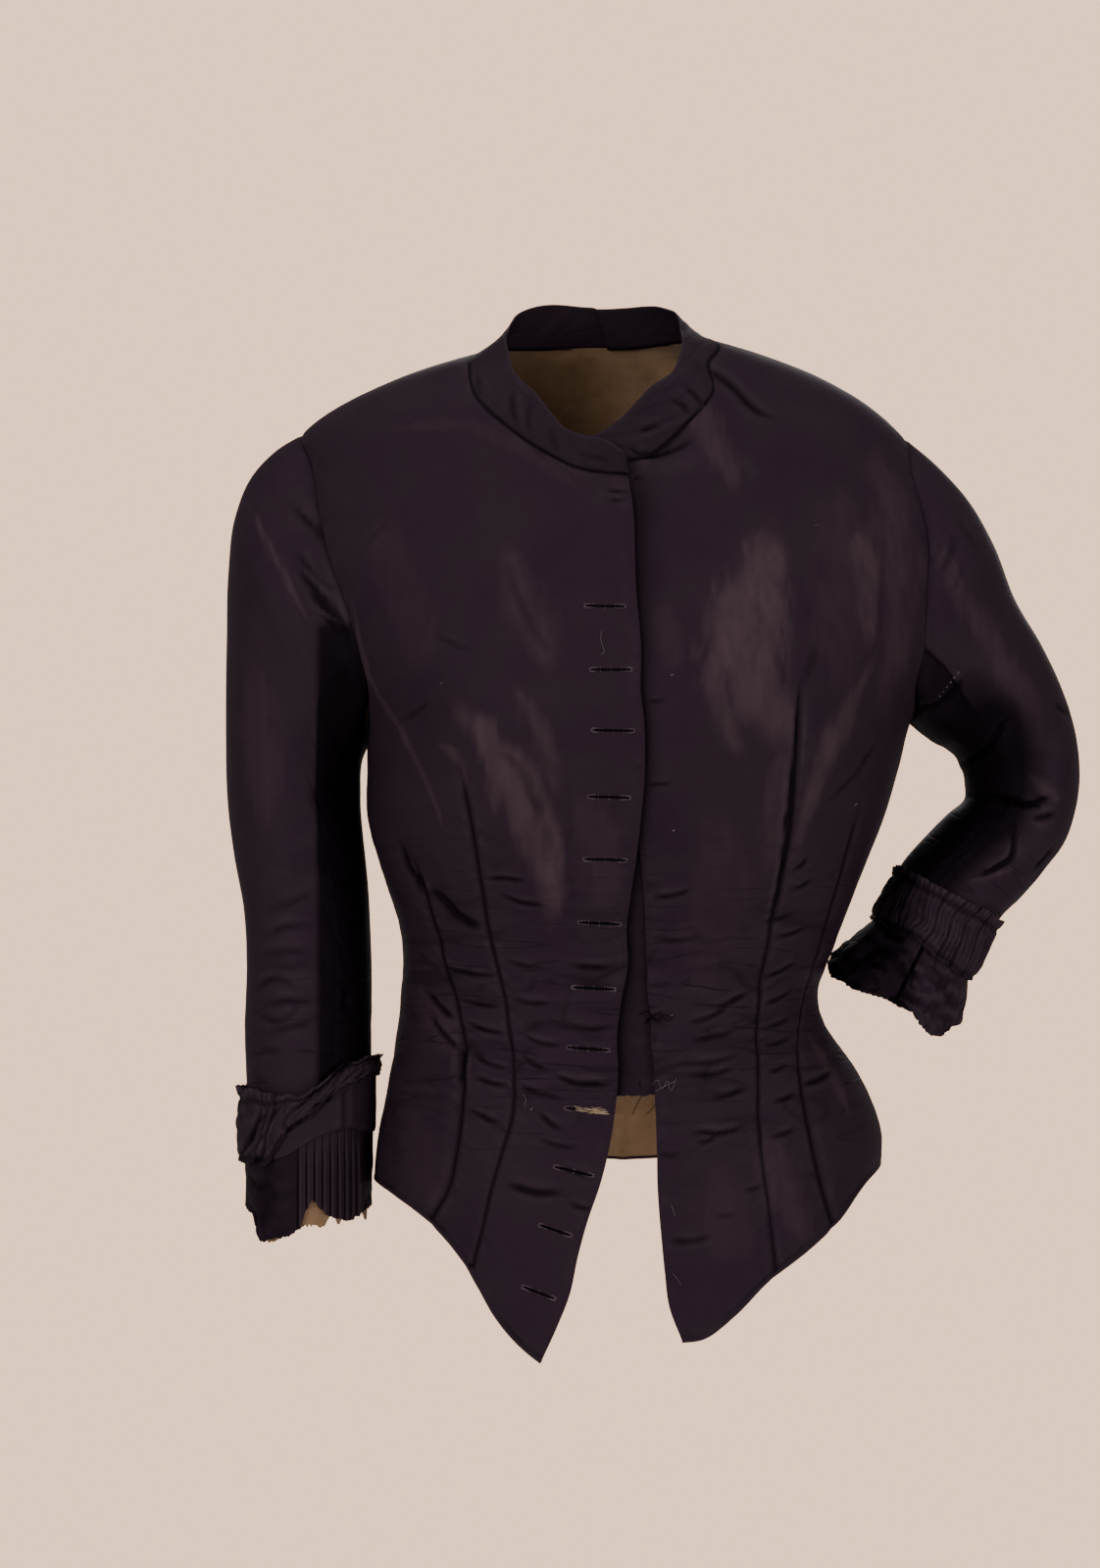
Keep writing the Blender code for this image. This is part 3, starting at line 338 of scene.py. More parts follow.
# %% Lining material
lining, tree, shader, flat, place = cloth_material("tan lining", 0.85, 0.1, 0.2)
lining_bloom = put(tree, "ShaderNodeGroup", {"Place": place, "Patch size": 0.03}, node_tree=smoke)
tan = mixed(tree, lining_bloom.outputs["Bloom"], (0.30, 0.18, 0.10, 1), (0.19, 0.11, 0.06, 1))
# Crests of the lining are painted paler too, as rubbed wear and as highlight.
tan_rubbed = mixed(tree, own_value(tree, "rubbed"), tan, (0.62, 0.45, 0.30, 1))
tree.links.new(tan_rubbed, shader.inputs["Base Color"])
lining_weave = put(tree, "ShaderNodeGroup", {"Flat": flat, "Rib pitch": 0.0006}, node_tree=faille)
lining_bump = put(tree, "ShaderNodeBump", {"Height": lining_weave.outputs["Height"], "Strength": 0.3,
                                           "Distance": 0.0001})
tree.links.new(lining_bump.outputs[0], shader.inputs["Normal"])
print("materials:", [material.name for material in (silk, painted_shade_silk, lining)])

# %% [markdown]
# ## The torso surface
#
# The dressed body is described by level sections, from the neck to the hem: how far right and left
# each reaches, how deep it is in front and behind, and how square its corners are. Smooth cubics
# run between the sections. A place on the surface is a turn round the body in degrees, 0 at the
# centre front and 90 at the wearer's left side, and a height in millimetres.
# %% Torso sections
# Height, reach to the right and left, depth in front and behind, squareness.
TORSO = (
    (8, -30, 46, 44, 52, 2.0),
    (-3, -57, 89, 51, 60, 1.75),
    (-13, -92, 118, 56, 66, 1.65),
    (-27, -127, 147, 61, 72, 1.65),
    (-50, -163, 176, 67, 80, 1.75),
    (-76, -168, 191, 74, 88, 1.9),
    (-100, -169, 203, 82, 93, 2.0),
    (-140, -163, 210, 99, 97, 2.1),
    (-177, -148, 204, 113, 97, 2.2),
    (-200, -136, 190, 120, 95, 2.2),
    (-214, -129, 183, 122, 93, 2.2),
    (-240, -127, 176, 121, 88, 2.2),
    (-268, -127, 168, 116, 82, 2.2),
    (-309, -116, 152, 103, 72, 2.15),
    (-332, -109, 143, 95, 68, 2.1),
    (-351, -107, 136, 90, 66, 2.1),
    (-369, -108, 130, 88, 66, 2.1),
    (-388, -110, 134, 90, 74, 2.1),
    (-408, -113, 148, 93, 86, 2.1),
    (-430, -117, 160, 98, 99, 2.1),
    (-450, -121, 166, 102, 110, 2.1),
    (-475, -123, 165, 105, 120, 2.1),
    (-520, -123, 163, 108, 130, 2.1),
    (-590, -121, 160, 108, 135, 2.1),
)
# Where the darts give room for the bust: x, height, rise, spread across, spread up.
BUST = (
    (-62, -222, 7, 46, 52),
    (103, -200, 8, 46, 56),
)


def spline(knots, values, at):
    """A smooth cubic through rows of values at rising knots."""
    knots = np.asarray(knots, float)
    values = np.asarray(values, float).reshape(len(knots), -1)
    steps = np.diff(knots)[:, None]
    slopes = np.diff(values, axis=0) / steps
    inner = (slopes[:-1] * steps[1:] + slopes[1:] * steps[:-1]) / (steps[:-1] + steps[1:])
    tangents = np.vstack([slopes[:1], inner, slopes[-1:]])
    at = np.clip(np.atleast_1d(np.asarray(at, float)), knots[0], knots[-1])
    i = np.clip(np.searchsorted(knots, at, side="right") - 1, 0, len(knots) - 2)
    h = steps[i]
    f = (at - knots[i])[:, None] / h
    start = values[i] * (1 + 2 * f) * (1 - f) ** 2 + tangents[i] * h * f * (1 - f) ** 2
    end = values[i + 1] * f**2 * (3 - 2 * f) + tangents[i + 1] * h * f**2 * (f - 1)
    return start + end


def smooth_step(value):
    """0 below 0, 1 above 1 and a soft rise between them."""
    value = np.clip(value, 0, 1)
    return value * value * (3 - 2 * value)


def bell(value, width):
    """1 where the value is 0, fading to nothing at about twice the width on both sides."""
    return np.exp(-((value / width) ** 2))


def unit(vectors):
    """Vectors scaled to length one."""
    return vectors / np.maximum(np.linalg.norm(vectors, axis=-1, keepdims=True), 1e-9)


# %% The torso as a function
def section(height):
    """Middle, half width, front and back depth and squareness of the torso at each height."""
    table = np.array(TORSO[::-1], float)
    right, left, front, back, square = spline(table[:, 0], table[:, 1:], height).T
    return (right + left) / 2, (left - right) / 2, front, back, square


def turn_at(x, height):
    """The turn of a point of the front that is seen at x."""
    x, height = np.atleast_1d(np.asarray(x, float)), np.atleast_1d(np.asarray(height, float))
    middle, half, _, _, square = section(height)
    share = np.clip((x - middle) / half, -1, 1)
    return np.degrees(np.arcsin(np.sign(share) * np.abs(share) ** (square / 2)))


def torso_point(turn, height):
    """Points of the torso surface, as an array of the turns' shape with x, y and z added."""
    turn, height = np.broadcast_arrays(np.asarray(turn, float), np.asarray(height, float))
    shape = turn.shape
    angle, z = np.radians(turn.ravel()), height.ravel()
    middle, half, front, back, square = section(z)
    s, c = np.sin(angle), np.cos(angle)
    x = middle + half * np.sign(s) * np.abs(s) ** (2 / square)
    y = -np.where(c > 0, front, back) * np.sign(c) * np.abs(c) ** (2 / square)
    for at_x, at_z, rise, across, up in BUST:
        swell = rise * np.exp(-(((x - at_x) / across) ** 2) - ((z - at_z) / up) ** 2)
        y = y - swell * smooth_step(c * 2)
    return np.stack([x, y, z], axis=-1).reshape(*shape, 3)


def torso_normal(turn, height):
    """Outward directions of the torso surface."""
    across = torso_point(turn + 0.6, height) - torso_point(turn - 0.6, height)
    up = torso_point(turn, height + 1.5) - torso_point(turn, height - 1.5)
    return unit(np.cross(across, up))


def on_torso(rows):
    """Points of the torso at (turn, height) rows."""
    return torso_point(rows[..., 0], rows[..., 1])


print("waist point:", torso_point(0.0, -351.0).round(1))

# %% [markdown]
# ## Seam lines
#
# The panels' edges are short tables. Those of the front are read as x and height, as they are seen;
# the neck and the armholes are read as turn and height, because they run round the body.
# %% Seam tables
EDGE_RIGHT = (
    (-28, -566), (-13, -531), (-6, -500), (5, -467), (11, -439), (14, -400), (18, -362),
    (19, -328), (22, -306), (26, -273), (26, -198), (24, -144), (20, -80),
)
EDGE_LEFT = (
    (49, -554), (46, -550), (41, -527), (37, -490), (35, -440), (34, -415), (32, -374),
    (30, -349), (28, -308), (25, -283), (22, -252), (19, -198), (15, -144), (12, -72),
)
HEM_RIGHT = (
    (-28, -566), (-36, -560), (-52, -543), (-63, -525), (-77, -505), (-93, -490), (-110, -480),
)
HEM_LEFT = (
    (49, -554), (59, -553), (77, -541), (95, -524), (118, -508), (137, -493), (152, -476),
)
DARTS_RIGHT = (
    ((-65, -512), (-61, -497), (-56, -475), (-49, -451), (-44, -434), (-43, -414), (-45, -392),
     (-49, -366), (-56, -336), (-61, -305), (-66, -273), (-72, -242)),
    ((-90, -494), (-79, -474), (-74, -452), (-71, -426), (-71, -389), (-81, -355), (-88, -330),
     (-93, -312), (-102, -288)),
)
DARTS_LEFT = (
    ((101, -516), (97, -483), (93, -453), (92, -416), (93, -378), (97, -344), (104, -308),
     (109, -276), (111, -238), (112, -200)),
    ((134, -496), (132, -490), (124, -462), (118, -432), (115, -404), (120, -372), (129, -341),
     (139, -302), (148, -266)),
)
# Turn and height of the neck seam, then x, y and height of the collar's upper edge.
NECK = (
    (2.7, -80, 18, -77, -68),
    (-1.6, -79, 8, -75, -61),
    (-7.0, -76, -4, -72, -58),
    (-11.1, -70, -14, -67, -53),
    (-16.6, -60, -23, -60, -43),
    (-21.3, -51, -31, -54, -32),
    (-30.8, -37, -40, -45, -23),
    (-46.5, -18, -46, -29, -8),
    (-64, -9, -48, -15, 2),
    (-90, -3, -47, -2, 9),
    (-125, 1, -40, 22, 22),
    (-155, 4, -20, 39, 27),
    (180, 5, 2, 45, 28),
    (155, 5, 23, 40, 28),
    (125, 5, 39, 25, 26),
    (90, 4, 50, 1, 18),
    (60, 0, 51, -16, 8),
    (34.7, -13, 51, -34, -2),
    (28.7, -30, 46, -45, -17),
    (22.8, -42, 38, -51, -25),
    (15.0, -57, 28, -57, -33),
    (9.7, -66, 17, -62, -45),
    (4.5, -70, 6, -66, -53),
    (0.6, -72, 0, -67, -57),
)
NECK_SHOULDER_RIGHT, NECK_CENTRE_BACK, NECK_SHOULDER_LEFT = 9.25, 12.0, 14.75
# The armholes, from the shoulder seam down the front, under the arm and up the back.
ARMHOLE_RIGHT = (
    (-98, -50), (-88, -52), (-77, -60), (-70, -77), (-66, -100), (-63, -126), (-61, -146),
    (-62, -176), (-67, -200), (-80, -216), (-94, -223), (-106, -217), (-116, -202), (-122, -180),
    (-125, -150), (-122, -115), (-116, -85), (-108, -63), (-98, -50),
)
ARMHOLE_LEFT = (
    (98, -52), (88, -54), (80, -62), (72, -77), (67, -96), (64, -119), (61, -141),
    (61, -169), (66, -192), (79, -209), (94, -216), (106, -211), (116, -197), (122, -176),
    (125, -148), (122, -115), (116, -87), (108, -65), (98, -52),
)
SIGN = {"right": -1, "left": 1}
DARTS = {"right": DARTS_RIGHT, "left": DARTS_LEFT}
ARMHOLE = {"right": ARMHOLE_RIGHT, "left": ARMHOLE_LEFT}
AT_SIDE_SEAM, AT_SIDE_BACK = 10, 13
SIDE_TURN = 94
SIDE_HEM = {"right": -474, "left": -464}
SIDE_BACK = (
    (128, -468), (131, -430), (136, -390), (139, -360), (140, -320), (138, -270), (131, -210),
)
BACK_HEM = -476

# %% [markdown]
# ## Panels as grids
#
# A panel with four edges is filled by a Coons patch: it blends the two pairs of opposite edges, so
# the grid's rows and columns follow all four. The blend is done on the unrolled surface, where
# distances are true, and the darts are made by sliding two columns of each front onto them.
# %% Grid counts and paths
SIDE_ROWS, FRONT_ARM_ROWS, SIDE_COLUMNS, BACK_ARM_ROWS = 220, 130, 20, 30
NECK_COLUMNS, SHOULDER_COLUMNS, BACK_NECK_COLUMNS = 56, 42, 20
DART_COLUMNS = (42, 70)
LAP_DEPTH, LAP_WIDTH = 2.8, 24
NECK_LEAN = 120
GIRTH_LOW, GIRTH_STEP, GIRTH_TURN = -600, 2, 4.0


def added_up(steps):
    """How far one has come after each of a row of steps, from 0."""
    return np.concatenate([[0], np.cumsum(steps)])


def run_of(points):
    """Distance along a row of (turn, height) points on the torso."""
    return added_up(np.linalg.norm(np.diff(on_torso(points), axis=0), axis=1))


def even_path(points, count):
    """count + 1 evenly spaced rows of the smooth curve through rows that start with turn, height."""
    points = np.asarray(points, float)
    run = run_of(points)
    fine = spline(run, points, np.linspace(0, run[-1], 12 * count + 1))
    run = run_of(fine)
    wanted = np.linspace(0, run[-1], count + 1)
    return np.stack([np.interp(wanted, run, column) for column in fine.T], axis=-1)


def on_front(points):
    """Points of the front that are given as x and height, as (turn, height)."""
    points = np.asarray(points, float)
    return np.stack([turn_at(points[:, 0], points[:, 1]), points[:, 1]], axis=-1)


def stopped_path(points, stops, counts):
    """A path through (turn, height) points that has a point at each stop; counts between them."""
    fine = even_path(points, 400)
    space = on_torso(fine)
    places = [0, *(int(np.argmin(np.linalg.norm(space - mark, axis=1))) for mark in on_torso(stops)), 400]
    parts = [fine[first:last + 1] for first, last in zip(places[:-1], places[1:])]
    runs = [even_path(part[::max(1, len(part) // 20)], count) for part, count in zip(parts, counts)]
    return np.vstack([runs[0], *(run[1:] for run in runs[1:])])


def sided(points, side):
    """Turns of the left side are positive and those of the right side negative."""
    return [(SIGN[side] * turn, height) for turn, height in points]


def neck_path(first, last, count):
    """Evenly spaced rows of NECK between two stations; the turn runs on past -180 degrees."""
    table = np.array(NECK, float)
    table[:, 0] = np.degrees(np.unwrap(np.radians(table[:, 0])))
    return even_path(spline(np.arange(len(table)), table, np.linspace(first, last, 25)), count)


# %% Unrolling the torso
girth_levels = np.arange(GIRTH_LOW, 13, GIRTH_STEP, dtype=float)[:, None]
girth_turns = np.arange(0, 201, GIRTH_TURN)
girth_runs = []
for side_sign in (-1, 1):
    girth_space = torso_point(side_sign * girth_turns[None], girth_levels)
    girth_steps = np.linalg.norm(np.diff(girth_space, axis=1), axis=2)
    girth_zero = np.zeros((len(girth_levels), 1))
    girth_runs.append(np.concatenate([girth_zero, np.cumsum(girth_steps, axis=1)], axis=1))


def unrolled(points, back=False):
    """(turn, height) rows as flat (distance round the body, height), or back again."""
    rows = points.reshape(-1, 2)
    value, height = rows[:, 0], rows[:, 1]
    level = np.clip((height - GIRTH_LOW) / GIRTH_STEP, 0, len(girth_levels) - 1.001)
    low = level.astype(int)
    part = (level - low)[:, None]
    left = (value > 0)[:, None]
    lower = np.where(left, girth_runs[1][low], girth_runs[0][low])
    upper = np.where(left, girth_runs[1][low + 1], girth_runs[0][low + 1])
    run = lower + (upper - lower) * part
    size = np.abs(value)
    place = (run <= size[:, None]).sum(axis=1) - 1 if back else (size / GIRTH_TURN).astype(int)
    place = np.clip(place, 0, len(girth_turns) - 2)
    near, far = (np.take_along_axis(run, (place + k)[:, None], 1)[:, 0] for k in (0, 1))
    if back:
        new = girth_turns[place] + GIRTH_TURN * np.clip((size - near) / (far - near), 0, 1)
    else:
        new = near + (far - near) * (size / GIRTH_TURN - place)
    return np.stack([np.copysign(new, value), height], axis=-1).reshape(points.shape)


# %% Fill a panel's four edges
def relaxed(flat, rounds=160):
    """Winslow smoothing: the inner points settle so that no cell of the grid folds over."""
    for _ in range(rounds):
        across = (flat[1:-1, 2:] - flat[1:-1, :-2]) / 2
        up = (flat[2:, 1:-1] - flat[:-2, 1:-1]) / 2
        twist = (flat[2:, 2:] - flat[2:, :-2] - flat[:-2, 2:] + flat[:-2, :-2]) / 4
        a = (up**2).sum(axis=-1, keepdims=True)
        b = (across * up).sum(axis=-1, keepdims=True)
        c = (across**2).sum(axis=-1, keepdims=True)
        beside = a * (flat[1:-1, 2:] + flat[1:-1, :-2]) + c * (flat[2:, 1:-1] + flat[:-2, 1:-1])
        flat[1:-1, 1:-1] = (beside - 2 * b * twist) / (2 * (a + c))
    return flat


def coons(bottom, top, left, right, lean=0):
    """A grid of (turn, height) on the torso inside four edges of it; rows run from bottom to top."""
    v = np.linspace(0, 1, len(left))[:, None, None]
    u = np.linspace(0, 1, len(bottom))[None, :, None]
    low, high, near, far = (unrolled(edge) for edge in (bottom, top, left, right))
    pull = u**2 if lean else u
    flat = (1 - v) * low[None] + v * high[None]
    flat = flat + (1 - pull) * (near[:, None] - (1 - v) * low[0] - v * high[0])
    flat = flat + pull * (far[:, None] - (1 - v) * low[-1] - v * high[-1])
    flat[..., 0] += lean * (4 * u * (1 - u) * v**2 * (1 - v))[..., 0]
    grid = unrolled(relaxed(flat), back=True)
    grid[0], grid[-1], grid[:, 0], grid[:, -1] = bottom, top, left, right
    return grid


# %% The fronts' grids
def onto_darts(grid, darts):
    """Slide the columns of a front round the body until two of them run along the darts."""
    rows, columns, _ = grid.shape
    fixed = [0, *DART_COLUMNS, columns - 1]
    shifts = np.zeros((rows, len(fixed)))
    for k, (dart, column) in enumerate(zip(darts, DART_COLUMNS), start=1):
        table = np.array(dart, float)
        heights = grid[:, column, 1]
        wanted = spline(table[:, 1], table[:, :1], heights)[:, 0]
        fade = 1 - smooth_step((heights - table[-1, 1]) / 110)
        shifts[:, k] = (turn_at(wanted, heights) - grid[:, column, 0]) * fade
    for row in range(1, rows):
        grid[row, :, 0] += np.interp(np.arange(columns), fixed, shifts[row])
    return grid


def grid_of_front(side):
    """The (turn, height) grid of one front: rows from hem to shoulder, columns from the edge out."""
    if side == "right":
        edge, hem = EDGE_RIGHT, HEM_RIGHT
        neck = neck_path(0, NECK_SHOULDER_RIGHT, NECK_COLUMNS)[:, :2]
    else:
        edge, hem = EDGE_LEFT, HEM_LEFT
        neck = neck_path(NECK_SHOULDER_LEFT, len(NECK) - 1, NECK_COLUMNS)[::-1, :2] + (360, 0)
    armhole, corner = ARMHOLE[side], (SIGN[side] * SIDE_TURN, SIDE_HEM[side])
    columns = NECK_COLUMNS + SHOULDER_COLUMNS
    counts = np.diff([0, *DART_COLUMNS, columns])
    dart_feet = on_front([dart[0] for dart in DARTS[side]])
    bottom = stopped_path(np.vstack([on_front(hem), corner]), dart_feet, counts)
    shoulder = even_path([neck[-1], armhole[0]], SHOULDER_COLUMNS)
    top = np.vstack([neck, shoulder[1:]])
    underarm = armhole[AT_SIDE_SEAM]
    side_seam = even_path([corner, underarm], SIDE_ROWS)
    arm = even_path(armhole[AT_SIDE_SEAM::-1], FRONT_ARM_ROWS)
    edge_line = even_path(on_front(edge), 200)
    chest_at = int(np.argmin(np.abs(edge_line[:, 1] - underarm[1])))
    low_edge = even_path(edge_line[:chest_at + 1:8], SIDE_ROWS)
    upper_part = np.vstack([low_edge[-1:], edge_line[chest_at + 8::8], edge_line[-1:]])
    high_edge = even_path(upper_part, FRONT_ARM_ROWS)
    chest_ends = unrolled(np.array([low_edge[-1], underarm]))
    share = np.linspace(0, 1, columns + 1)[:, None]
    chest = unrolled(chest_ends[0] + share * (chest_ends[1] - chest_ends[0]), back=True)
    low = coons(bottom, chest, low_edge, side_seam)
    high = coons(chest, top, high_edge, arm, SIGN[side] * NECK_LEAN)
    return onto_darts(np.vstack([low, high[1:]]), DARTS[side])


def lap_depth(points):
    """How far the left front lies below the surface, where the right front laps over it."""
    edge = np.array(EDGE_RIGHT, float)
    x, height = points[..., 0], points[..., 2]
    lap = spline(edge[:, 1], edge[:, :1], height.ravel()).reshape(height.shape)
    under = smooth_step((lap + LAP_WIDTH - x) / LAP_WIDTH)
    return LAP_DEPTH * under * smooth_step((height + 420) / 60)


# %% [markdown]
# ## Folds and creases
#
# Crisp silk doesn't drape in soft waves. It breaks: a narrow trough with a raised lip above it,
# where the cloth has buckled. The creases of the fronts and sleeves are placed from the photograph,
# each as a depth, a width and the points it runs through. Between them lies a field of small random
# creases, from smooth noise with a fixed seed, stronger at the waist and the elbows.
# %% Noise and creases
LATTICE = 64


def crease_depth(x, z, creases):
    """How deep a set of creases lies at each point, each fading to nothing at its ends."""
    depth = np.zeros_like(x)
    for x1, z1, x2, z2, deep, width in creases:
        run = np.array([x2 - x1, z2 - z1], float)
        length = np.hypot(*run)
        along = ((x - x1) * run[0] + (z - z1) * run[1]) / length**2
        off = ((x - x1) * run[1] - (z - z1) * run[0]) / length
        ends = smooth_step(along * 3) * smooth_step((1 - along) * 3)
        depth += deep * ends * bell(off, width)
    return depth


def cloth_noise(across, up, seed):
    """Smooth noise between -1 and 1, about one bump for each unit."""
    lattice = np.random.default_rng(seed).uniform(-1, 1, (LATTICE, LATTICE))
    across, up = np.broadcast_arrays(np.asarray(across, float), np.asarray(up, float))
    column, row = np.floor(across).astype(int), np.floor(up).astype(int)
    u, v = smooth_step(across - column), smooth_step(up - row)
    here, after = column % LATTICE, (column + 1) % LATTICE
    low, high = (lattice[level % LATTICE, here] * (1 - u) + lattice[level % LATTICE, after] * u
                 for level in (row, row + 1))
    return low * (1 - v) + high * v


def random_creases(across, up, length, width, seed):
    """Long soft waves with thin sharp valleys between them, about -1 to 0.5."""
    bend = cloth_noise(across / 31, up / 37, seed + 5) * 0.9
    waves = cloth_noise(across / length, up / width + bend, seed)
    lines = cloth_noise(across / length / 0.8, up / width / 1.3 + bend, seed + 1)
    return 0.5 * waves - 0.55 * (1 - np.abs(lines)) ** 7


# %% Placed creases and sheen
def beside_line(x, z, line, reach):
    """Points near a smooth line: a mask, the distance above it and the share of the way along it."""
    knots = np.array(line, float).reshape(-1, 2)
    if len(knots) == 2:
        run = knots[1] - knots[0]
        droop = 0.06 * np.array((run[1], -run[0])) * np.sign(run[0] or 1)
        knots = np.array([knots[0], knots.mean(axis=0) + droop, knots[1]])
    knots = spline(np.arange(len(knots)), knots, np.linspace(0, len(knots) - 1, 13))
    low, high = knots.min(axis=0) - reach, knots.max(axis=0) + reach
    near = (x > low[0]) & (x < high[0]) & (z > low[1]) & (z < high[1])
    px, pz = x[near], z[near]
    way = np.sign(knots[-1, 0] - knots[0, 0]) or 1
    best = np.full(px.shape, 1e9)
    off, share = np.zeros_like(px), np.zeros_like(px)
    for k, (start, end) in enumerate(zip(knots[:-1], knots[1:])):
        run = end - start
        part = np.clip(((px - start[0]) * run[0] + (pz - start[1]) * run[1]) / (run @ run), 0, 1)
        dx, dz = px - start[0] - part * run[0], pz - start[1] - part * run[1]
        apart = np.hypot(dx, dz)
        closer = apart < best
        best = np.where(closer, apart, best)
        side = np.sign(run[0] * dz - run[1] * dx) * way
        off = np.where(closer, apart * side, off)
        share = np.where(closer, (k + part) / (len(knots) - 1), share)
    return near, px, pz, off, share


def crease_height(x, z, creases, seed=0):
    """Height of the listed creases: a trough and, above it, a raised lip."""
    height = np.zeros_like(x)
    for number, (deep, width, *line) in enumerate(creases):
        near, px, pz, off, share = beside_line(x, z, line, 5 * width)
        fade = smooth_step(share * 2.6 + 0.05) * smooth_step((1 - share) * 2.6 + 0.05)
        fade *= 1 + 0.35 * cloth_noise(px / 9, pz / 9, seed + number)
        t = off / width + 0.25 * cloth_noise(px / 10, pz / 8, seed + number + 60)
        if deep > 0:
            height[near] += deep * fade * (0.4 * bell(t - 1.3, 1) - 1.4 * bell(t, 0.5))
        else:
            height[near] -= deep * fade * bell(t, 1)
    return height


def sheen_patches(x, z, patches, seed=0):
    """Where a highlight is painted on the silk in broad streaks with torn edges, 0 to 1."""
    sheen = np.zeros_like(x)
    for number, (strength, width, *line) in enumerate(patches):
        near, px, pz, off, share = beside_line(x, z, line, 2 * width)
        torn = 0.45 * cloth_noise(px / 6, pz / 22, seed + number)
        torn += 0.25 * cloth_noise(px / 1.8, pz / 12, seed)
        leaf = 0.3 + 0.7 * np.sin(math.pi * np.clip(share, 0, 1))
        t = np.abs(off) / (width * leaf) + torn
        ends = smooth_step(share * 5 + 0.2) * smooth_step((1 - share) * 5 + 0.2)
        soft = 1 - smooth_step((t - 0.3) / 1.1)
        sheen[near] += strength * ends * soft * (1 - sheen[near])
    return sheen


# %% [markdown]
# ## Seams
#
# Beside a seam the cloth rolls under, and the stitches shorten it a little, so it puckers. Each
# panel knows how far every point lies from its four edges, and that distance drives both.
# %% Distances and puckers
def edge_distances(points):
    """Distance of each grid point from the left, right, bottom and top edge, and along the rows."""
    across = np.linalg.norm(np.diff(points, axis=1), axis=2)
    up = np.linalg.norm(np.diff(points, axis=0), axis=2)
    left = np.concatenate([np.zeros((len(points), 1)), np.cumsum(across, axis=1)], axis=1)
    bottom = np.concatenate([np.zeros((1, points.shape[1])), np.cumsum(up, axis=0)], axis=0)
    return {"left": left, "right": left[:, -1:] - left, "bottom": bottom, "top": bottom[-1:] - bottom}


def seam_pull(apart, along, seed, roll, pucker):
    """How the cloth rolls under and puckers beside a seam."""
    under = -roll * bell(apart, 2.2)
    ripple = cloth_noise(along / 5.5, apart / 22, seed) + 0.5 * cloth_noise(along / 2.6, apart / 15, seed + 9)
    return under + 1.3 * pucker * ripple * np.exp(-apart / 8) * (1 - bell(apart, 2))


def edge_pulls(relief, apart, seed, **edges):
    """A relief with the pulls of the named edges added, each with its own roll and pucker."""
    for number, (edge, (roll, pucker)) in enumerate(edges.items()):
        along = apart["bottom" if edge in ("left", "right") else "left"]
        relief = relief + seam_pull(apart[edge], along, seed + number, roll, pucker)
    return relief


def away_from(apart, *edges):
    """0 on the named edges, 1 well inside: relief must fade there, or the seam would gape."""
    return 1 - np.exp(-np.minimum.reduce([apart[edge] for edge in edges]) / 9)


# %% [markdown]
# ## From a grid to cloth
#
# A grid of points becomes cloth when it has two sides and a rim. The shell below is a closed wall
# of quads. Its outside is silk and its inside the tan lining, but for the silk turned in at an
# edge. Its UV map is the flat cloth in metres, and each point carries the four values of the silk.
# %% Cloth shell
# Millimetres, and the angle in degrees from which a fold stays hard.
CLOTH_THICKNESS = 0.9
SEAM_ALLOWANCE = 12
SHARP_EDGE = 60
# The four values each point carries: crests rubbed and painted as highlight, painted shade, painted sheen and
# hair creases.
WEAR_AND_PAINTED_LIGHT = ("rubbed", "sunk", "glossed", "creased")
made = {}
middle_of = {}


def grid_normals(points, outward, closed=False):
    """Unit normals of a grid, on the side of the outward directions, and the sign of its faces."""
    if closed:
        across = np.roll(points, -1, axis=1) - np.roll(points, 1, axis=1)
    else:
        across = np.gradient(points, axis=1)
    normals = unit(np.cross(across, np.gradient(points, axis=0)))
    sign = np.sign((normals * outward).sum(axis=-1).mean())
    return normals * sign, sign


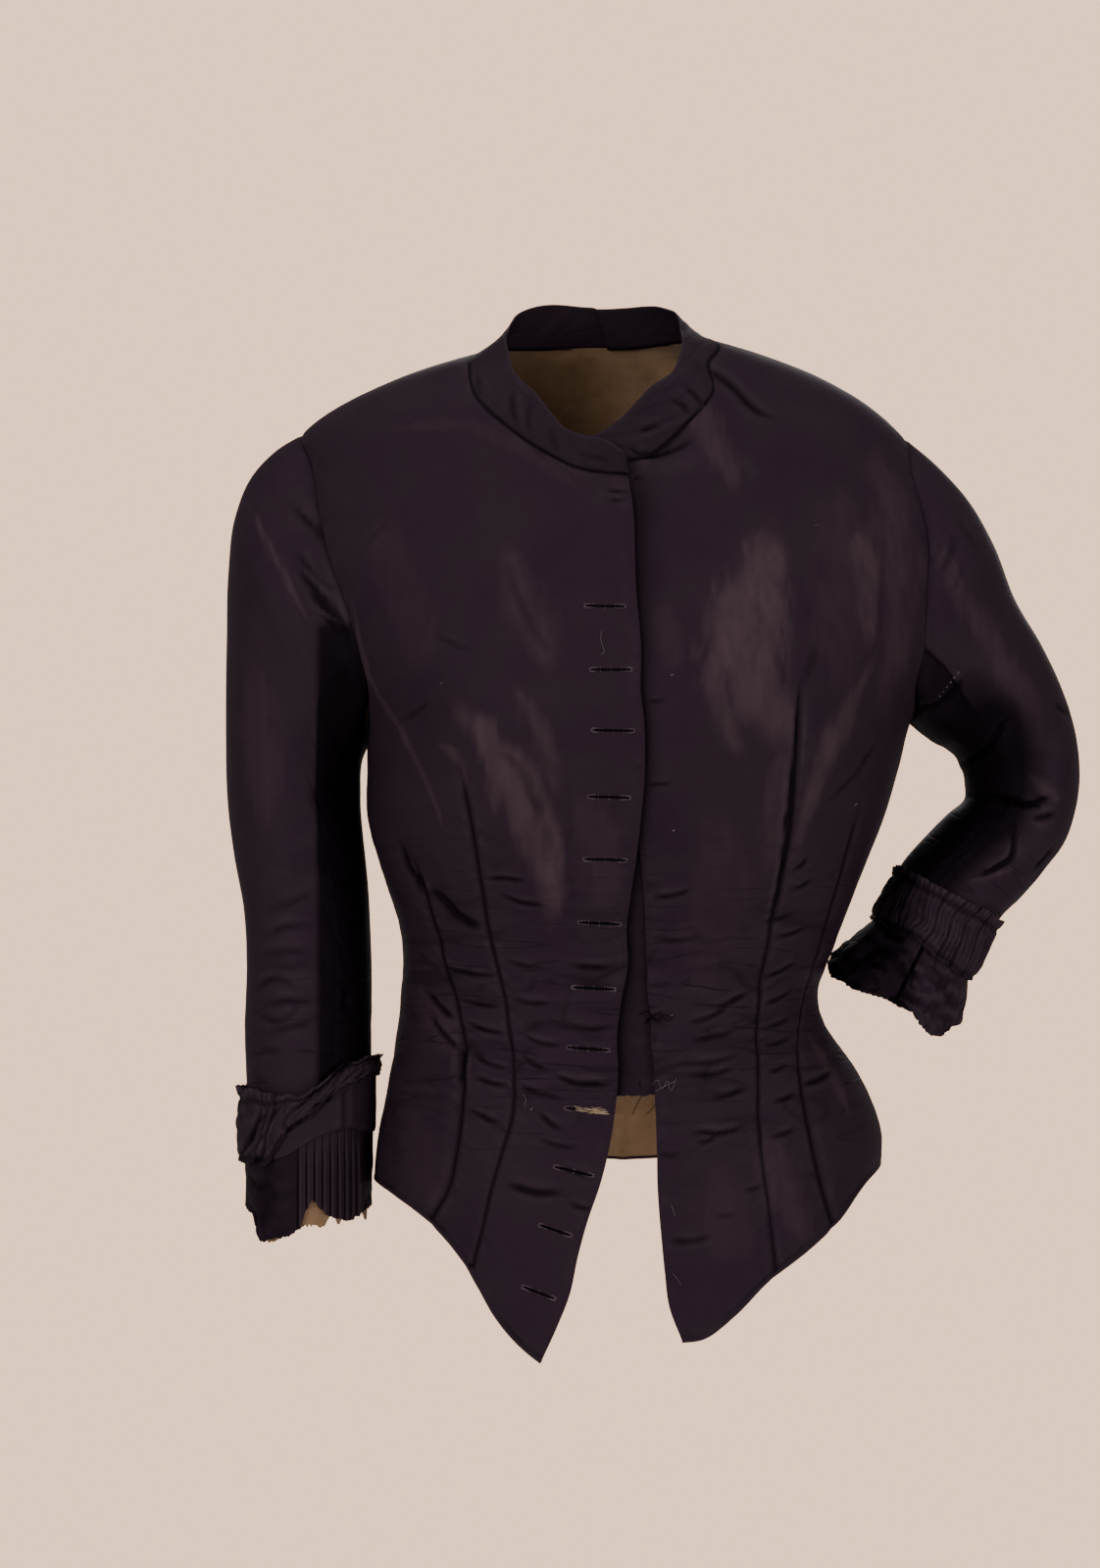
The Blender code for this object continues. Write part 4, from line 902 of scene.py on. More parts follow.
def cloth_shell(name, outer, outward, flat, closed=False, thickness=CLOTH_THICKNESS, inside=1,
                materials=None, allowance=None, even=False, **wear_and_painted_light):
    """One piece of cloth from a grid in millimetres; flat holds its UV in millimetres.

    An even piece has its inside straight behind its outside, so that no sharp fold turns it over.
    Where the allowance is under 12 mm the silk is turned in. The other keywords hold any of the four values.
    """
    rows, columns, _ = outer.shape
    normals, sign = grid_normals(outer, outward, closed)
    inner = outer - (outward if even else normals) * thickness
    count = rows * columns

    def quads(index, shift):
        a, b, c, d = index[:-1, :-1], index[:-1, 1:], index[1:, 1:], index[1:, :-1]
        outside = np.stack([a, b, c, d], axis=-1).reshape(-1, 4)
        rims = [(index[0, 1:], index[0, :-1]), (index[-1, :-1], index[-1, 1:])]
        if not closed:
            rims += [(index[:-1, 0], index[1:, 0]), (index[1:, -1], index[:-1, -1])]
        edge = [np.stack([p, q, q + shift, p + shift], axis=-1) for p, q in rims]
        return outside, outside[:, ::-1] + shift, np.concatenate(edge)

    index = np.arange(count).reshape(rows, columns)
    if closed:
        index = np.hstack([index, index[:, :1]])
    faces = np.concatenate(quads(index, count))
    flat_index = np.arange(rows * flat.shape[1]).reshape(rows, flat.shape[1])
    flat_faces = np.concatenate(quads(flat_index, 0))
    if sign < 0:
        faces, flat_faces = faces[:, ::-1], flat_faces[:, ::-1]
    mesh = bpy.data.meshes.new(name)
    points = np.concatenate([outer.reshape(-1, 3), inner.reshape(-1, 3)]) * MM
    mesh.from_pydata(points.tolist(), [], faces.tolist())
    for material in materials or (silk, lining):
        mesh.materials.append(material)
    outside_count = (rows - 1) * (index.shape[1] - 1)
    slots = np.zeros(len(faces), dtype=np.int32)
    slots[outside_count:2 * outside_count] = inside
    if allowance is not None:
        turned_in = (allowance[:-1, :-1] < SEAM_ALLOWANCE).ravel()
        slots[outside_count:2 * outside_count][turned_in] = 0
    mesh.polygons.foreach_set("material_index", slots)
    uv_map = mesh.uv_layers.new(name="cloth")
    uv_map.uv.foreach_set("vector", (flat.reshape(-1, 2)[flat_faces.ravel()] * MM).ravel())
    for label in WEAR_AND_PAINTED_LIGHT:
        values = wear_and_painted_light.get(label)
        values = np.zeros((rows, columns)) if values is None else np.clip(values, 0, 1)
        layer = mesh.attributes.new(label, "FLOAT", "POINT")
        layer.data.foreach_set("value", np.concatenate([values.ravel(), values.ravel()]))
    mesh.shade_smooth()
    mesh.set_sharp_from_angle(angle=math.radians(SHARP_EDGE))
    made[name] = link(name, mesh)
    middle_of[name] = outer - normals * thickness / 2
    print(name, len(faces) * 2, "triangles")


def crest(relief):
    """Where a relief stands above the cloth beside it, 0 to 1, for rubbed crests with a painted highlight."""
    blurred = relief.copy()
    for axis in (0, 1):
        blurred = (np.roll(blurred, 2, axis=axis) + np.roll(blurred, -2, axis=axis) + blurred) / 3
    return np.clip((relief - blurred) * 0.5, 0, 0.35)


# %% [markdown]
# ## The two fronts
#
# Each front runs from the closing edge to the side seam, with two long darts that take in the
# waist. The right front laps over the left one. Below the waist both curve away to points. The
# creases pull across the belly to the darts, and the bust lifts the cloth in broad soft facets.
# %% Crease tables of the fronts
# Folds: x and height of both ends, depth, width. Creases: depth, width, x and height of each point.
FRONT_FOLDS = (
    (-112, -275, -66, -340, 2.2, 9),
    (-104, -330, -48, -352, 1.6, 8),
    (-100, -368, -30, -372, 1.5, 8),
    (-100, -402, -20, -396, 1.4, 8),
    (-40, -428, 8, -420, 1.2, 8),
    (58, -330, 120, -322, 1.4, 8),
    (50, -362, 122, -356, 1.6, 8),
    (56, -396, 126, -384, 1.5, 8),
    (60, -430, 110, -432, 1.3, 8),
    (26, -70, 72, -58, 3.0, 8),
    (116, -250, 158, -205, -2.0, 12),
)
RIGHT_CREASES = (
    (0.7, 2.4, -60, -303, -47, -303, -34, -305),
    (0.6, 2.4, -52, -310, -23, -318),
    (0.5, 2.4, -49, -347, -27, -352),
    (0.6, 2.2, -47, -369, -20, -371),
    (0.6, 2.2, -40, -388, -14, -395),
    (0.5, 2.2, -40, -399, -23, -408),
    (0.6, 2.4, -42, -415, -14, -423),
    (0.8, 2.6, -23, -410, 14, -415),
    (0.7, 3.2, -14, -349, 16, -350),
    (0.5, 2.4, -18, -382, 14, -384),
    (0.6, 2.6, -31, -430, -14, -440),
    (0.5, 2.4, -31, -444, -5, -449),
    (0.5, 2.6, -20, -458, 3, -465),
    (0.8, 4.0, -49, -469, -14, -473),
    (0.5, 2.4, -14, -478, 1, -482),
    (0.7, 2.2, -84, -352, -51, -356),
    (0.7, 2.2, -77, -369, -49, -373),
    (0.7, 2.2, -70, -382, -47, -388),
    (0.7, 2.2, -68, -399, -44, -408),
    (0.6, 2.2, -66, -412, -44, -417),
    (0.7, 2.4, -70, -428, -49, -438),
    (0.8, 3.0, -94, -365, -75, -382),
    (0.8, 3.0, -90, -378, -73, -399),
    (0.7, 3.0, -107, -280, -92, -315),
    (1.3, 5.0, -92, -306, -60, -332),
    (1.7, 2.2, -70, -394, -72, -408, -70, -423),
    (0.5, 2.2, 8, -88, 20, -90),
    (0.25, 6.0, -58, -230, -38, -246, -22, -290),
    (0.2, 5.0, -40, -202, -14, -254),
    (0.2, 5.0, -48, -126, -18, -186),
    (0.2, 3.0, -87, -168, -64, -178),
    (0.2, 3.0, -107, -216, -86, -204),
    (0.2, 3.5, -128, -117, -112, -103),
    (0.4, 2.2, 8, -94, 18, -95),
)
LEFT_CREASES = (
    (1.1, 2.2, 112, -193, 111.5, -220, 107.5, -262, 103, -308, 97, -339),
    (0.8, 2.2, 32, -313, 44, -312, 56, -308),
    (0.5, 3.0, 30, -334, 60, -335),
    (0.4, 2.2, 30, -361, 45, -360),
    (0.7, 2.4, 51, -382, 77, -373),
    (0.7, 2.4, 60, -375, 90, -365),
    (0.6, 2.4, 53, -391, 84, -384),
    (0.6, 2.4, 45, -404, 84, -399),
    (0.6, 2.2, 49, -410, 82, -406),
    (0.6, 2.4, 64, -422, 88, -417),
    (0.9, 2.4, 51, -441, 86, -438),
    (0.6, 2.0, 56, -446, 69, -444),
    (0.4, 2.2, 36, -452, 49, -453),
    (0.6, 3.0, 40, -499, 66, -497),
    (0.4, 2.4, 66, -486, 80, -485),
    (0.5, 2.4, 82, -473, 95, -471),
    (0.6, 2.2, 95, -328, 114, -321),
    (0.7, 2.2, 101, -336, 121, -330),
    (0.8, 2.2, 95, -360, 116, -349),
    (0.8, 2.2, 95, -373, 114, -365),
    (0.7, 2.2, 95, -386, 112, -380),
    (0.7, 2.2, 95, -395, 114, -391),
    (0.7, 2.4, 97, -410, 110, -406),
    (0.6, 2.4, 99, -425, 114, -421),
    (0.6, 2.4, 95, -445, 114, -440),
    (1.1, 3.0, 116, -417, 136, -411),
    (0.6, 2.4, 110, -299, 119, -291),
    (0.6, 2.4, 108, -310, 123, -302),
    (-0.9, 9.0, 104, -110, 64, -158, 96, -176),
    (-0.7, 8.0, 60, -198, 84, -238),
    (-1.0, 8.0, 152, -102, 158, -158),
    (-0.8, 6.0, 148, -186, 128, -236, 112, -284),
    (0.25, 5.0, 120, -170, 114, -198),
    (0.5, 2.2, 29, -206, 40, -204),
    (0.5, 2.2, 29, -251, 44, -250),
    (0.35, 3.0, 160, -222, 124, -266),
    (1.0, 2.0, 22, -71, 40, -67, 60, -58),
    (0.8, 3.2, 58, -16, 74, -26, 91, -41, 106, -50),
    (-0.7, 6.0, 67, -52, 71, -87),
    (-0.6, 5.0, 87, -67, 91, -85),
    (0.4, 2.0, 22, -80, 30, -82),
)
# %% Sheen of the fronts
# Streaks of painted sheen: strength, half width, then the points the streak runs through.
RIGHT_SHEEN = (
    (0.14, 14, -112, -100, -110, -130, -100, -160, -92, -190),
    (0.12, 14, -104, -430, -96, -456, -84, -486),
    (0.30, 12, -46, -118, -40, -140, -30, -168, -22, -192),
    (0.75, 13, -76, -206, -58, -226, -44, -250, -32, -276, -24, -302, -21, -328),
    (0.40, 6, -42, -196, -33, -216, -24, -238, -18, -258),
    (0.45, 3, -84, -228, -72, -238, -70, -256),
    (0.45, 1.8, -134, -142, -124, -190, -106, -220, -88, -256, -80, -280),
    (0.22, 14, -8, -255, 4, -285, 8, -320),
    (0.15, 4, -116, -52, -60, -54, -4, -90),
    (0.20, 10, -100, -366, -84, -384, -78, -404),
)
LEFT_SHEEN = (
    (0.14, 16, 66, -262, 70, -300, 62, -345, 66, -372),
    (0.14, 16, 66, -455, 74, -490, 84, -512),
    (0.75, 19, 100, -110, 94, -126, 84, -152, 80, -178, 89, -199, 98, -215, 101, -234),
    (0.40, 7, 66, -176, 64, -194, 70, -216, 82, -238),
    (0.45, 7, 148, -108, 153, -136, 152, -176),
    (0.35, 14, 158, -62, 167, -100, 170, -150, 160, -210),
    (0.20, 18, 138, -84, 140, -140, 136, -206),
    (0.55, 6, 156, -180, 142, -206, 130, -228, 119, -258, 112, -290),
    (0.30, 8, 104, -230, 101, -262, 96, -300),
    (0.40, 9, 50, -24, 62, -50, 72, -68, 82, -90),
    (0.40, 3, 121, -390, 132, -410, 146, -438),
    (0.30, 11, 96, -440, 104, -470, 118, -505),
    (0.20, 10, 38, -150, 46, -190),
)


# %% Build the fronts
def near_waist(z, height=-375, reach=75):
    """1 at the waist, fading to 0 above and below it."""
    return bell(z - height, reach)


def closing_edge():
    """The right front's closing edge from the front, x and height, from the bottom up."""
    edge = on_torso(grid_of_front("right")[:, 0])[:, (0, 2)]
    return edge[np.argsort(edge[:, 1])]


def front_relief(side, grid, points, apart, seed):
    """Everything that lifts or sinks a front's cloth, in millimetres, and the shade painted on it."""
    x, z = points[..., 0], points[..., 2]
    facing = smooth_step((80 - np.abs(grid[..., 0])) / 20)
    creases = crease_height(x, z, RIGHT_CREASES if side == "right" else LEFT_CREASES, seed)
    relief = creases - crease_depth(x, z, FRONT_FOLDS) * facing
    waist = near_waist(z)
    wrinkles = random_creases(x, z, 30, 6.0, seed)
    inside = away_from(apart, "right", "top")
    relief += (wrinkles * (0.05 + 0.6 * waist) + 0.45 * cloth_noise(x / 34, z / 30, seed + 3)) * inside
    # Painted shade: a line above the hem, the troughs of the wrinkles, the darts and seams, and the creases.
    sunk = 0.5 * bell(apart["bottom"] - 2.6, 0.8) + np.clip(-wrinkles - 0.3, 0, 0.6) * waist
    for dart, column in zip(DARTS[side], DART_COLUMNS):
        beside = np.abs(apart["left"] - apart["left"][:, column:column + 1])
        ends = 1 - smooth_step((z - dart[-1][1] + 20) / 30)
        pull = seam_pull(beside, apart["bottom"], seed + column, 0.6, 0.45)
        relief += (pull - 0.35 * bell(beside, 6)) * ends
        sunk += bell(beside, 1.3) * ends
    relief = edge_pulls(relief, apart, seed + 20, right=(0.1, 0.3), top=(0.3, 0.3), bottom=(0.2, 0.35),
                        left=(0.25, 0.25))
    sunk += 0.5 * bell(apart["right"], 1) + bell(apart["top"], 1)
    sunk += np.clip(-1.25 * creases, 0, 0.9)
    # Painted shadow of the right front's closing edge on the left front beside it.
    if side == "left":
        edge = closing_edge()
        shadow = np.interp(z, edge[:, 1], edge[:, 0])
        spread = np.interp(z, (-260, -200, -140, -80), (4, 4.5, 8, 12))
        sunk += 0.85 * np.exp(-((np.clip(x - shadow, 0, None) / spread) ** 1.5)) * smooth_step((-50 - z) / 50)
    return relief, np.clip(sunk, 0, 1) * 0.9


# %% Make the two fronts
def body_cloth(name, grid, relief, sunk, lap=0, **looks):
    """One panel of the body, lifted by its relief; a lap lowers it under its neighbour."""
    points, normals = on_torso(grid), torso_normal(grid[..., 0], grid[..., 1])
    outer = points + normals * (relief - lap)[..., None]
    creased = 0.05 + 0.9 * near_waist(points[..., 2], -380)
    cloth_shell(name, outer, normals, unrolled(grid), even=True, rubbed=crest(relief), sunk=sunk,
                creased=creased, **looks)


def build_front(side, seed):
    """One front: its grid, its relief and its streaks of painted sheen."""
    grid = grid_of_front(side)
    points = on_torso(grid)
    apart = edge_distances(points)
    relief, sunk = front_relief(side, grid, points, apart, seed)
    sheen = RIGHT_SHEEN if side == "right" else LEFT_SHEEN
    body_cloth(f"silk_front_{side}", grid, relief, sunk, lap_depth(points) if side == "left" else 0,
               glossed=sheen_patches(points[..., 0], points[..., 2], sheen, seed), allowance=apart["right"])


build_front("right", 11)
build_front("left", 29)

# %% [markdown]
# ## The back
#
# Two narrow side backs and two backs reach from the side seams to the centre back. Nothing of them
# shows from the front, so their creases are like those in front: shallow pulls across the waist.
# %% Build the back panels
def side_back_seam(side):
    """The seam between a side back and its back, from the hem to the armhole."""
    return even_path([*sided(SIDE_BACK, side), ARMHOLE[side][AT_SIDE_BACK]], SIDE_ROWS)


def build_panel(name, grid, seed):
    """A panel with random creases and with a seam on each edge but the hem."""
    points = on_torso(grid)
    apart = edge_distances(points)
    x, z = grid[..., 0] * 1.4, points[..., 2]
    relief = random_creases(x, z, 28, 6, seed) * (0.06 + 0.4 * near_waist(z, reach=60))
    relief += 0.5 * cloth_noise(x / 30, z / 34, seed + 3)
    relief *= away_from(apart, "left", "right", "top")
    relief = edge_pulls(relief, apart, seed + 20, left=(0.3, 0.3), right=(0.3, 0.3), top=(0.3, 0.3),
                        bottom=(0.2, 0.35))
    # Painted shade along the three seams.
    sunk = sum(bell(apart[edge], 1) for edge in ("left", "right", "top")) * 0.6
    turned_in = np.minimum(apart["left"], apart["top"]) if "side" in name else apart["left"]
    body_cloth(name, grid, relief, sunk, allowance=turned_in)


# %% The back panels' grids
def side_back_grid(side):
    """The (turn, height) grid of one side back, columns from the side seam back."""
    armhole, corner = ARMHOLE[side], (SIGN[side] * SIDE_TURN, SIDE_HEM[side])
    side_seam = even_path([corner, armhole[AT_SIDE_SEAM]], SIDE_ROWS)
    bottom = even_path([corner, sided(SIDE_BACK, side)[0]], SIDE_COLUMNS)
    top = even_path(armhole[AT_SIDE_SEAM:AT_SIDE_BACK + 1], SIDE_COLUMNS)
    return coons(bottom, top, side_seam, side_back_seam(side))


def back_grid(side):
    """The (turn, height) grid of one back, columns from the side back to the centre."""
    armhole, turn = ARMHOLE[side], SIGN[side] * 180
    rows, columns = SIDE_ROWS + BACK_ARM_ROWS, BACK_NECK_COLUMNS + SHOULDER_COLUMNS
    arm = even_path(armhole[AT_SIDE_BACK:], BACK_ARM_ROWS)
    outer_edge = np.vstack([side_back_seam(side), arm[1:]])
    if side == "right":
        neck = neck_path(NECK_SHOULDER_RIGHT, NECK_CENTRE_BACK, BACK_NECK_COLUMNS)[:, :2]
    else:
        neck = neck_path(NECK_CENTRE_BACK, NECK_SHOULDER_LEFT, BACK_NECK_COLUMNS)[::-1, :2] + (360, 0)
    shoulder = even_path([armhole[0], neck[0]], SHOULDER_COLUMNS)
    bottom = even_path([sided(SIDE_BACK, side)[0], (turn, BACK_HEM)], columns)
    centre = even_path([(turn, BACK_HEM), (turn, float(neck[-1, 1]))], rows)
    return coons(bottom, np.vstack([shoulder, neck[1:]]), outer_edge, centre)


for side, seed in (("right", 41), ("left", 53)):
    build_panel(f"silk_side_back_{side}", side_back_grid(side), seed)
    build_panel(f"silk_back_{side}", back_grid(side), seed + 4)

# %% [markdown]
# ## The underlap
#
# Behind the closing edges a narrow strip keeps out the draught. It shows only at the waist, where
# the two fronts part, and its lower end is frayed: the last rows are cut to an uneven line.
# %% Build the underlap
UNDERLAP = {"left_x": 0, "right_x": 44, "top": -252, "bottom": -420, "depth": 4.6}
strip_rows, strip_columns = 80, 30
strip_x = np.linspace(UNDERLAP["left_x"], UNDERLAP["right_x"], strip_columns + 1)
frayed = UNDERLAP["bottom"] + 0.5 * cloth_noise(strip_x / 1.9, 0, 71) + 0.9 * cloth_noise(strip_x / 9, 0, 72)
strip_share = np.linspace(0, 1, strip_rows + 1)[:, None]
strip_z = frayed[None] + (UNDERLAP["top"] - frayed[None]) * strip_share
strip_x = np.broadcast_to(strip_x, strip_z.shape)
strip_turn = turn_at(strip_x.ravel(), strip_z.ravel()).reshape(strip_x.shape)
strip_out = torso_normal(strip_turn, strip_z)
strip_relief = random_creases(strip_x, strip_z, 16, 6, 73) * 0.6
strip_points = torso_point(strip_turn, strip_z) - strip_out * (UNDERLAP["depth"] - strip_relief[..., None])
opening = closing_edge()
# Painted shadow that the right front's edge casts on the strip beside it.
strip_shadow = np.exp(-np.clip(strip_x - np.interp(strip_z, opening[:, 1], opening[:, 0]), 0, None) / 5)
cloth_shell("silk_underlap", strip_points, strip_out, np.stack([strip_x, strip_z], axis=-1),
            rubbed=crest(strip_relief), sunk=0.1 + 0.75 * strip_shadow, inside=0)

# %% [markdown]
# ## The stand collar
#
# The collar is a strip that rises from the neck seam and leans in to the neck. Worn soft, it has
# sagged: small upright folds stand in its right side, and its left front end is crumpled.
# %% Build the collar
COLLAR_CREASES = (
    (0.8, 3.4, -44, -28, -41, -54),
    (-0.6, 3.6, -40, -27, -37, -54),
    (0.5, 3.0, -34, -38, -33, -58),
    (0.35, 4.0, -22, -52, -17, -68),
    (0.4, 3.2, -64, -20, -60, -37),
    (0.9, 2.8, 26, -55, 32, -53, 40, -52),
    (0.8, 2.8, 20, -62, 26, -67, 34, -66),
    (0.7, 3.0, 43, -37, 50, -40, 56, -48),
    (0.5, 3.0, 50, -28, 58, -34, 64, -44),
    (0.25, 3.4, -10, -66, 12, -72),
)
collar_rows = 24
collar_along = np.vstack((
    neck_path(0, NECK_SHOULDER_RIGHT, NECK_COLUMNS),
    neck_path(NECK_SHOULDER_RIGHT, NECK_CENTRE_BACK, BACK_NECK_COLUMNS)[1:],
    neck_path(NECK_CENTRE_BACK, NECK_SHOULDER_LEFT, BACK_NECK_COLUMNS)[1:],
    neck_path(NECK_SHOULDER_LEFT, len(NECK) - 1, NECK_COLUMNS)[1:],
))
collar_count = len(collar_along)
collar_along = np.stack([np.interp(np.arange(2 * collar_count - 1) / 2, np.arange(collar_count), column)
                         for column in collar_along.T], axis=1)
collar_seam = on_torso(collar_along)
collar_edge = 1 + 0.05 * cloth_noise(np.arange(len(collar_along)) / 14, 0, 87)
collar_rise = np.linspace(-0.05, 1, collar_rows + 1)[:, None, None] * collar_edge[None, :, None]
collar_points = collar_seam[None] + (collar_along[:, 2:5] - collar_seam)[None] * collar_rise
collar_out = unit(np.cross(np.gradient(collar_points, axis=1), np.gradient(collar_points, axis=0)))
collar_out *= np.sign((collar_out * collar_points * (1, 1, 0)).sum(axis=-1, keepdims=True))
collar_under = lap_depth(collar_seam)
collar_under[:collar_count] = 0
collar_apart = edge_distances(collar_points)
# %% Crumple the collar
collar_creases = crease_height(collar_points[..., 0], collar_points[..., 2], COLLAR_CREASES, 81)
collar_relief = collar_creases * smooth_step(-collar_points[..., 1] / 20 + 0.5)
collar_relief += 0.35 * cloth_noise(collar_apart["left"] / 9, collar_apart["bottom"] / 16, 83)
collar_relief = edge_pulls(collar_relief, collar_apart, 84, bottom=(0, 0.2), top=(0.3, 0.3))
# Painted shade at the neck seam and in the creases; the whole collar is also a little darker.
collar_sunk = 0.9 * bell(collar_apart["bottom"] - 0.8, 1.1)
collar_sunk += np.clip(-0.6 * collar_creases, 0, 0.7)
collar_sunk += 0.22
collar_points = collar_points + collar_out * (collar_relief - collar_under[None])[..., None]
cloth_shell("silk_collar", collar_points, collar_out,
            np.stack([collar_apart["left"], collar_apart["bottom"]], axis=-1),
            rubbed=crest(collar_relief) + 0.35 * bell(collar_apart["top"], 1.2),
            sunk=collar_sunk, creased=np.full(collar_sunk.shape, 0.4), inside=0)

# %% [markdown]
# ## Sleeves
#
# Each sleeve is two pieces, a wide upper and a narrow under sleeve, with seams down the front and
# the back of the arm. The rings of the arm come from a table of what the photograph shows of its
# outer and inner outline. The right arm hangs straight; the left elbow bends, and the silk breaks
# into deep folds inside it.
# %% Sleeve tables
# Each ring: outer x and height, inner x and height, middle y, half depth.
SLEEVE_RIGHT = (
    (-162, -50, -129, -223, 0, 56),
    (-178, -60, -130, -231, 0, 56),
    (-194, -77, -131, -238, 1, 54),
    (-203, -98, -131, -245, 2, 52),
    (-207, -129, -131, -254, 3, 49),
    (-208, -168, -131, -264, 3, 46),
    (-208, -213, -130.5, -277, 2, 45),
    (-207, -260, -129, -291, 0, 43),
    (-203, -293, -127, -311, -1, 42),
    (-198, -321, -125.5, -330, -2, 41),
    (-196, -354, -124.5, -357, -4, 39),
    (-197, -391, -124.5, -391, -6, 37),
    (-195.6, -424, -124.4, -424, -8, 35.6),
    (-193.7, -450, -126.3, -450, -8, 33.7),
)
SLEEVE_LEFT = (
    (177, -52, 183, -216, 0, 56),
    (195, -67, 186, -219, 0, 56),
    (214, -87, 189, -222, 2, 54),
    (230, -113, 193, -225, 5, 51),
    (243, -145, 196, -227, 8, 48),
    (259, -172, 200, -229, 10, 45),
    (270, -195, 205, -231, 12, 44),
    (278, -220, 210, -235, 14, 43),
    (281, -244, 213, -241, 16, 42),
    (279, -266, 216, -250, 17, 40),
    (273, -284, 216, -259, 16, 38),
    (262, -299, 206, -268, 15, 37),
    (249, -314, 193, -281, 14, 35),
    (236, -327, 178.5, -298, 13, 32),
    (217.3, -355, 166.7, -329, 13, 28.5),
)
FRONT_SEAM, BACK_SEAM = 115, 248
SLEEVE_RIGHT_FOLDS = (
    (-150, -110, -132, -190, 3.0, 9),
    (-166, -120, -136, -225, 2.4, 9),
    (-134, -250, -160, -262, 2.2, 8),
    (-133, -285, -172, -300, 2.0, 8),
    (-195, -318, -140, -322, 1.4, 8),
    (-193, -350, -140, -352, 1.2, 7),
)
SLEEVE_LEFT_FOLDS = (
    (196, -214, 224, -186, 3.2, 8),
    (206, -226, 250, -208, 3.0, 8),
    (214, -248, 272, -236, 4.2, 8),
    (216, -262, 266, -262, 3.8, 8),
    (212, -272, 262, -284, 2.6, 7),
    (186, -150, 194, -205, 2.4, 9),
)
SLEEVE_BACK_FOLDS = {
    "right": (
        (-140, -170, -160, -240, 2.0, 10),
        (-135, -300, -190, -318, 1.6, 9),
    ),
    "left": (
        (200, -150, 196, -205, 2.0, 10),
        (224, -236, 270, -232, 3.0, 9),
        (220, -262, 262, -276, 2.4, 9),
    ),
}
# %% Creases of the sleeves
SLEEVE_RIGHT_CREASES = (
    (0.6, 3.6, -172, -91, -154, -108, -144, -122),
    (0.7, 3.6, -168, -119, -155, -133, -138, -147),
    (1.1, 3.6, -168, -125, -152, -143, -136, -161),
    (1.2, 3.6, -160, -141, -148, -152, -135, -164),
    (0.8, 3.4, -156, -153, -138, -166, -134, -171),
    (-0.9, 7.0, -192, -98, -180, -117, -170, -137, -160, -163),
    (0.35, 3.4, -187, -323, -169, -318, -152, -309),
    (0.50, 3.4, -181, -336, -171, -331, -153, -331),
    (0.35, 3.4, -188, -348, -173, -345, -153, -344),
    (0.45, 3.4, -186, -353, -171, -354, -152, -349),
    (0.45, 3.4, -192, -369, -178, -360, -164, -366),
    (0.55, 3.4, -185, -374, -169, -373, -152, -374),
    (0.40, 3.4, -190, -380, -173, -384, -162, -374),
    (0.35, 3.4, -183, -391, -166, -387, -152, -381),
    (0.35, 3.4, -187, -399, -173, -400),
    (0.7, 3.4, -137, -364, -136, -381),
    (0.5, 3.8, -128, -300, -140, -309),
    (0.5, 3.8, -128, -327, -138, -331),
)
SLEEVE_LEFT_CREASES = (
    (2.0, 3.2, 204, -239, 213, -239, 222, -234, 231, -219, 239, -216),
    (2.2, 3.2, 206, -256, 227, -259, 249, -263, 266, -256),
    (1.2, 3.2, 179, -204, 192, -208, 204, -200, 209, -190),
    (1.4, 3.2, 215, -305, 231, -298, 240, -289, 238, -275),
    (-1.8, 7.0, 198, -222, 212, -222, 222, -212),
    (-1.6, 6.0, 204, -248, 226, -246, 240, -238),
    (0.35, 3.6, 207, -110, 200, -124, 194, -138),
    (0.3, 3.4, 198, -112, 188, -130),
    (0.25, 3.4, 211, -124, 198, -147),
    (0.22, 5.0, 204, -92, 220, -121),
    (-0.9, 7.0, 208, -121, 230, -172, 248, -222),
    (-1.0, 4.0, 248, -240, 270, -262),
    (0.9, 3.2, 248, -257, 261, -259),
    (0.6, 3.2, 251, -264, 257, -265),
    (0.8, 3.2, 250, -270, 265, -267),
    (0.7, 3.2, 240, -270, 240, -284),
    (0.8, 3.2, 265, -284, 250, -301),
    (0.5, 3.2, 221, -296, 226, -302),
    (0.6, 3.0, 205, -243, 208, -255),
    (0.6, 3.4, 262, -204, 276, -214),
)


# %% The sleeves' grids
def armhole_points(side):
    """The armhole's points in order, shared by the body pieces and the sleeve."""
    armhole = ARMHOLE[side]
    front = even_path(armhole[AT_SIDE_SEAM::-1], FRONT_ARM_ROWS)[::-1]
    under = even_path(armhole[AT_SIDE_SEAM:AT_SIDE_BACK + 1], SIDE_COLUMNS)
    back = even_path(armhole[AT_SIDE_BACK:], BACK_ARM_ROWS)
    return np.vstack([front[:-1], under[:-1], back[:-1]])


def run_down(rings):
    """Mean distance down a tube that is given as rings."""
    return added_up(np.linalg.norm(np.diff(rings, axis=0), axis=2).mean(axis=1))


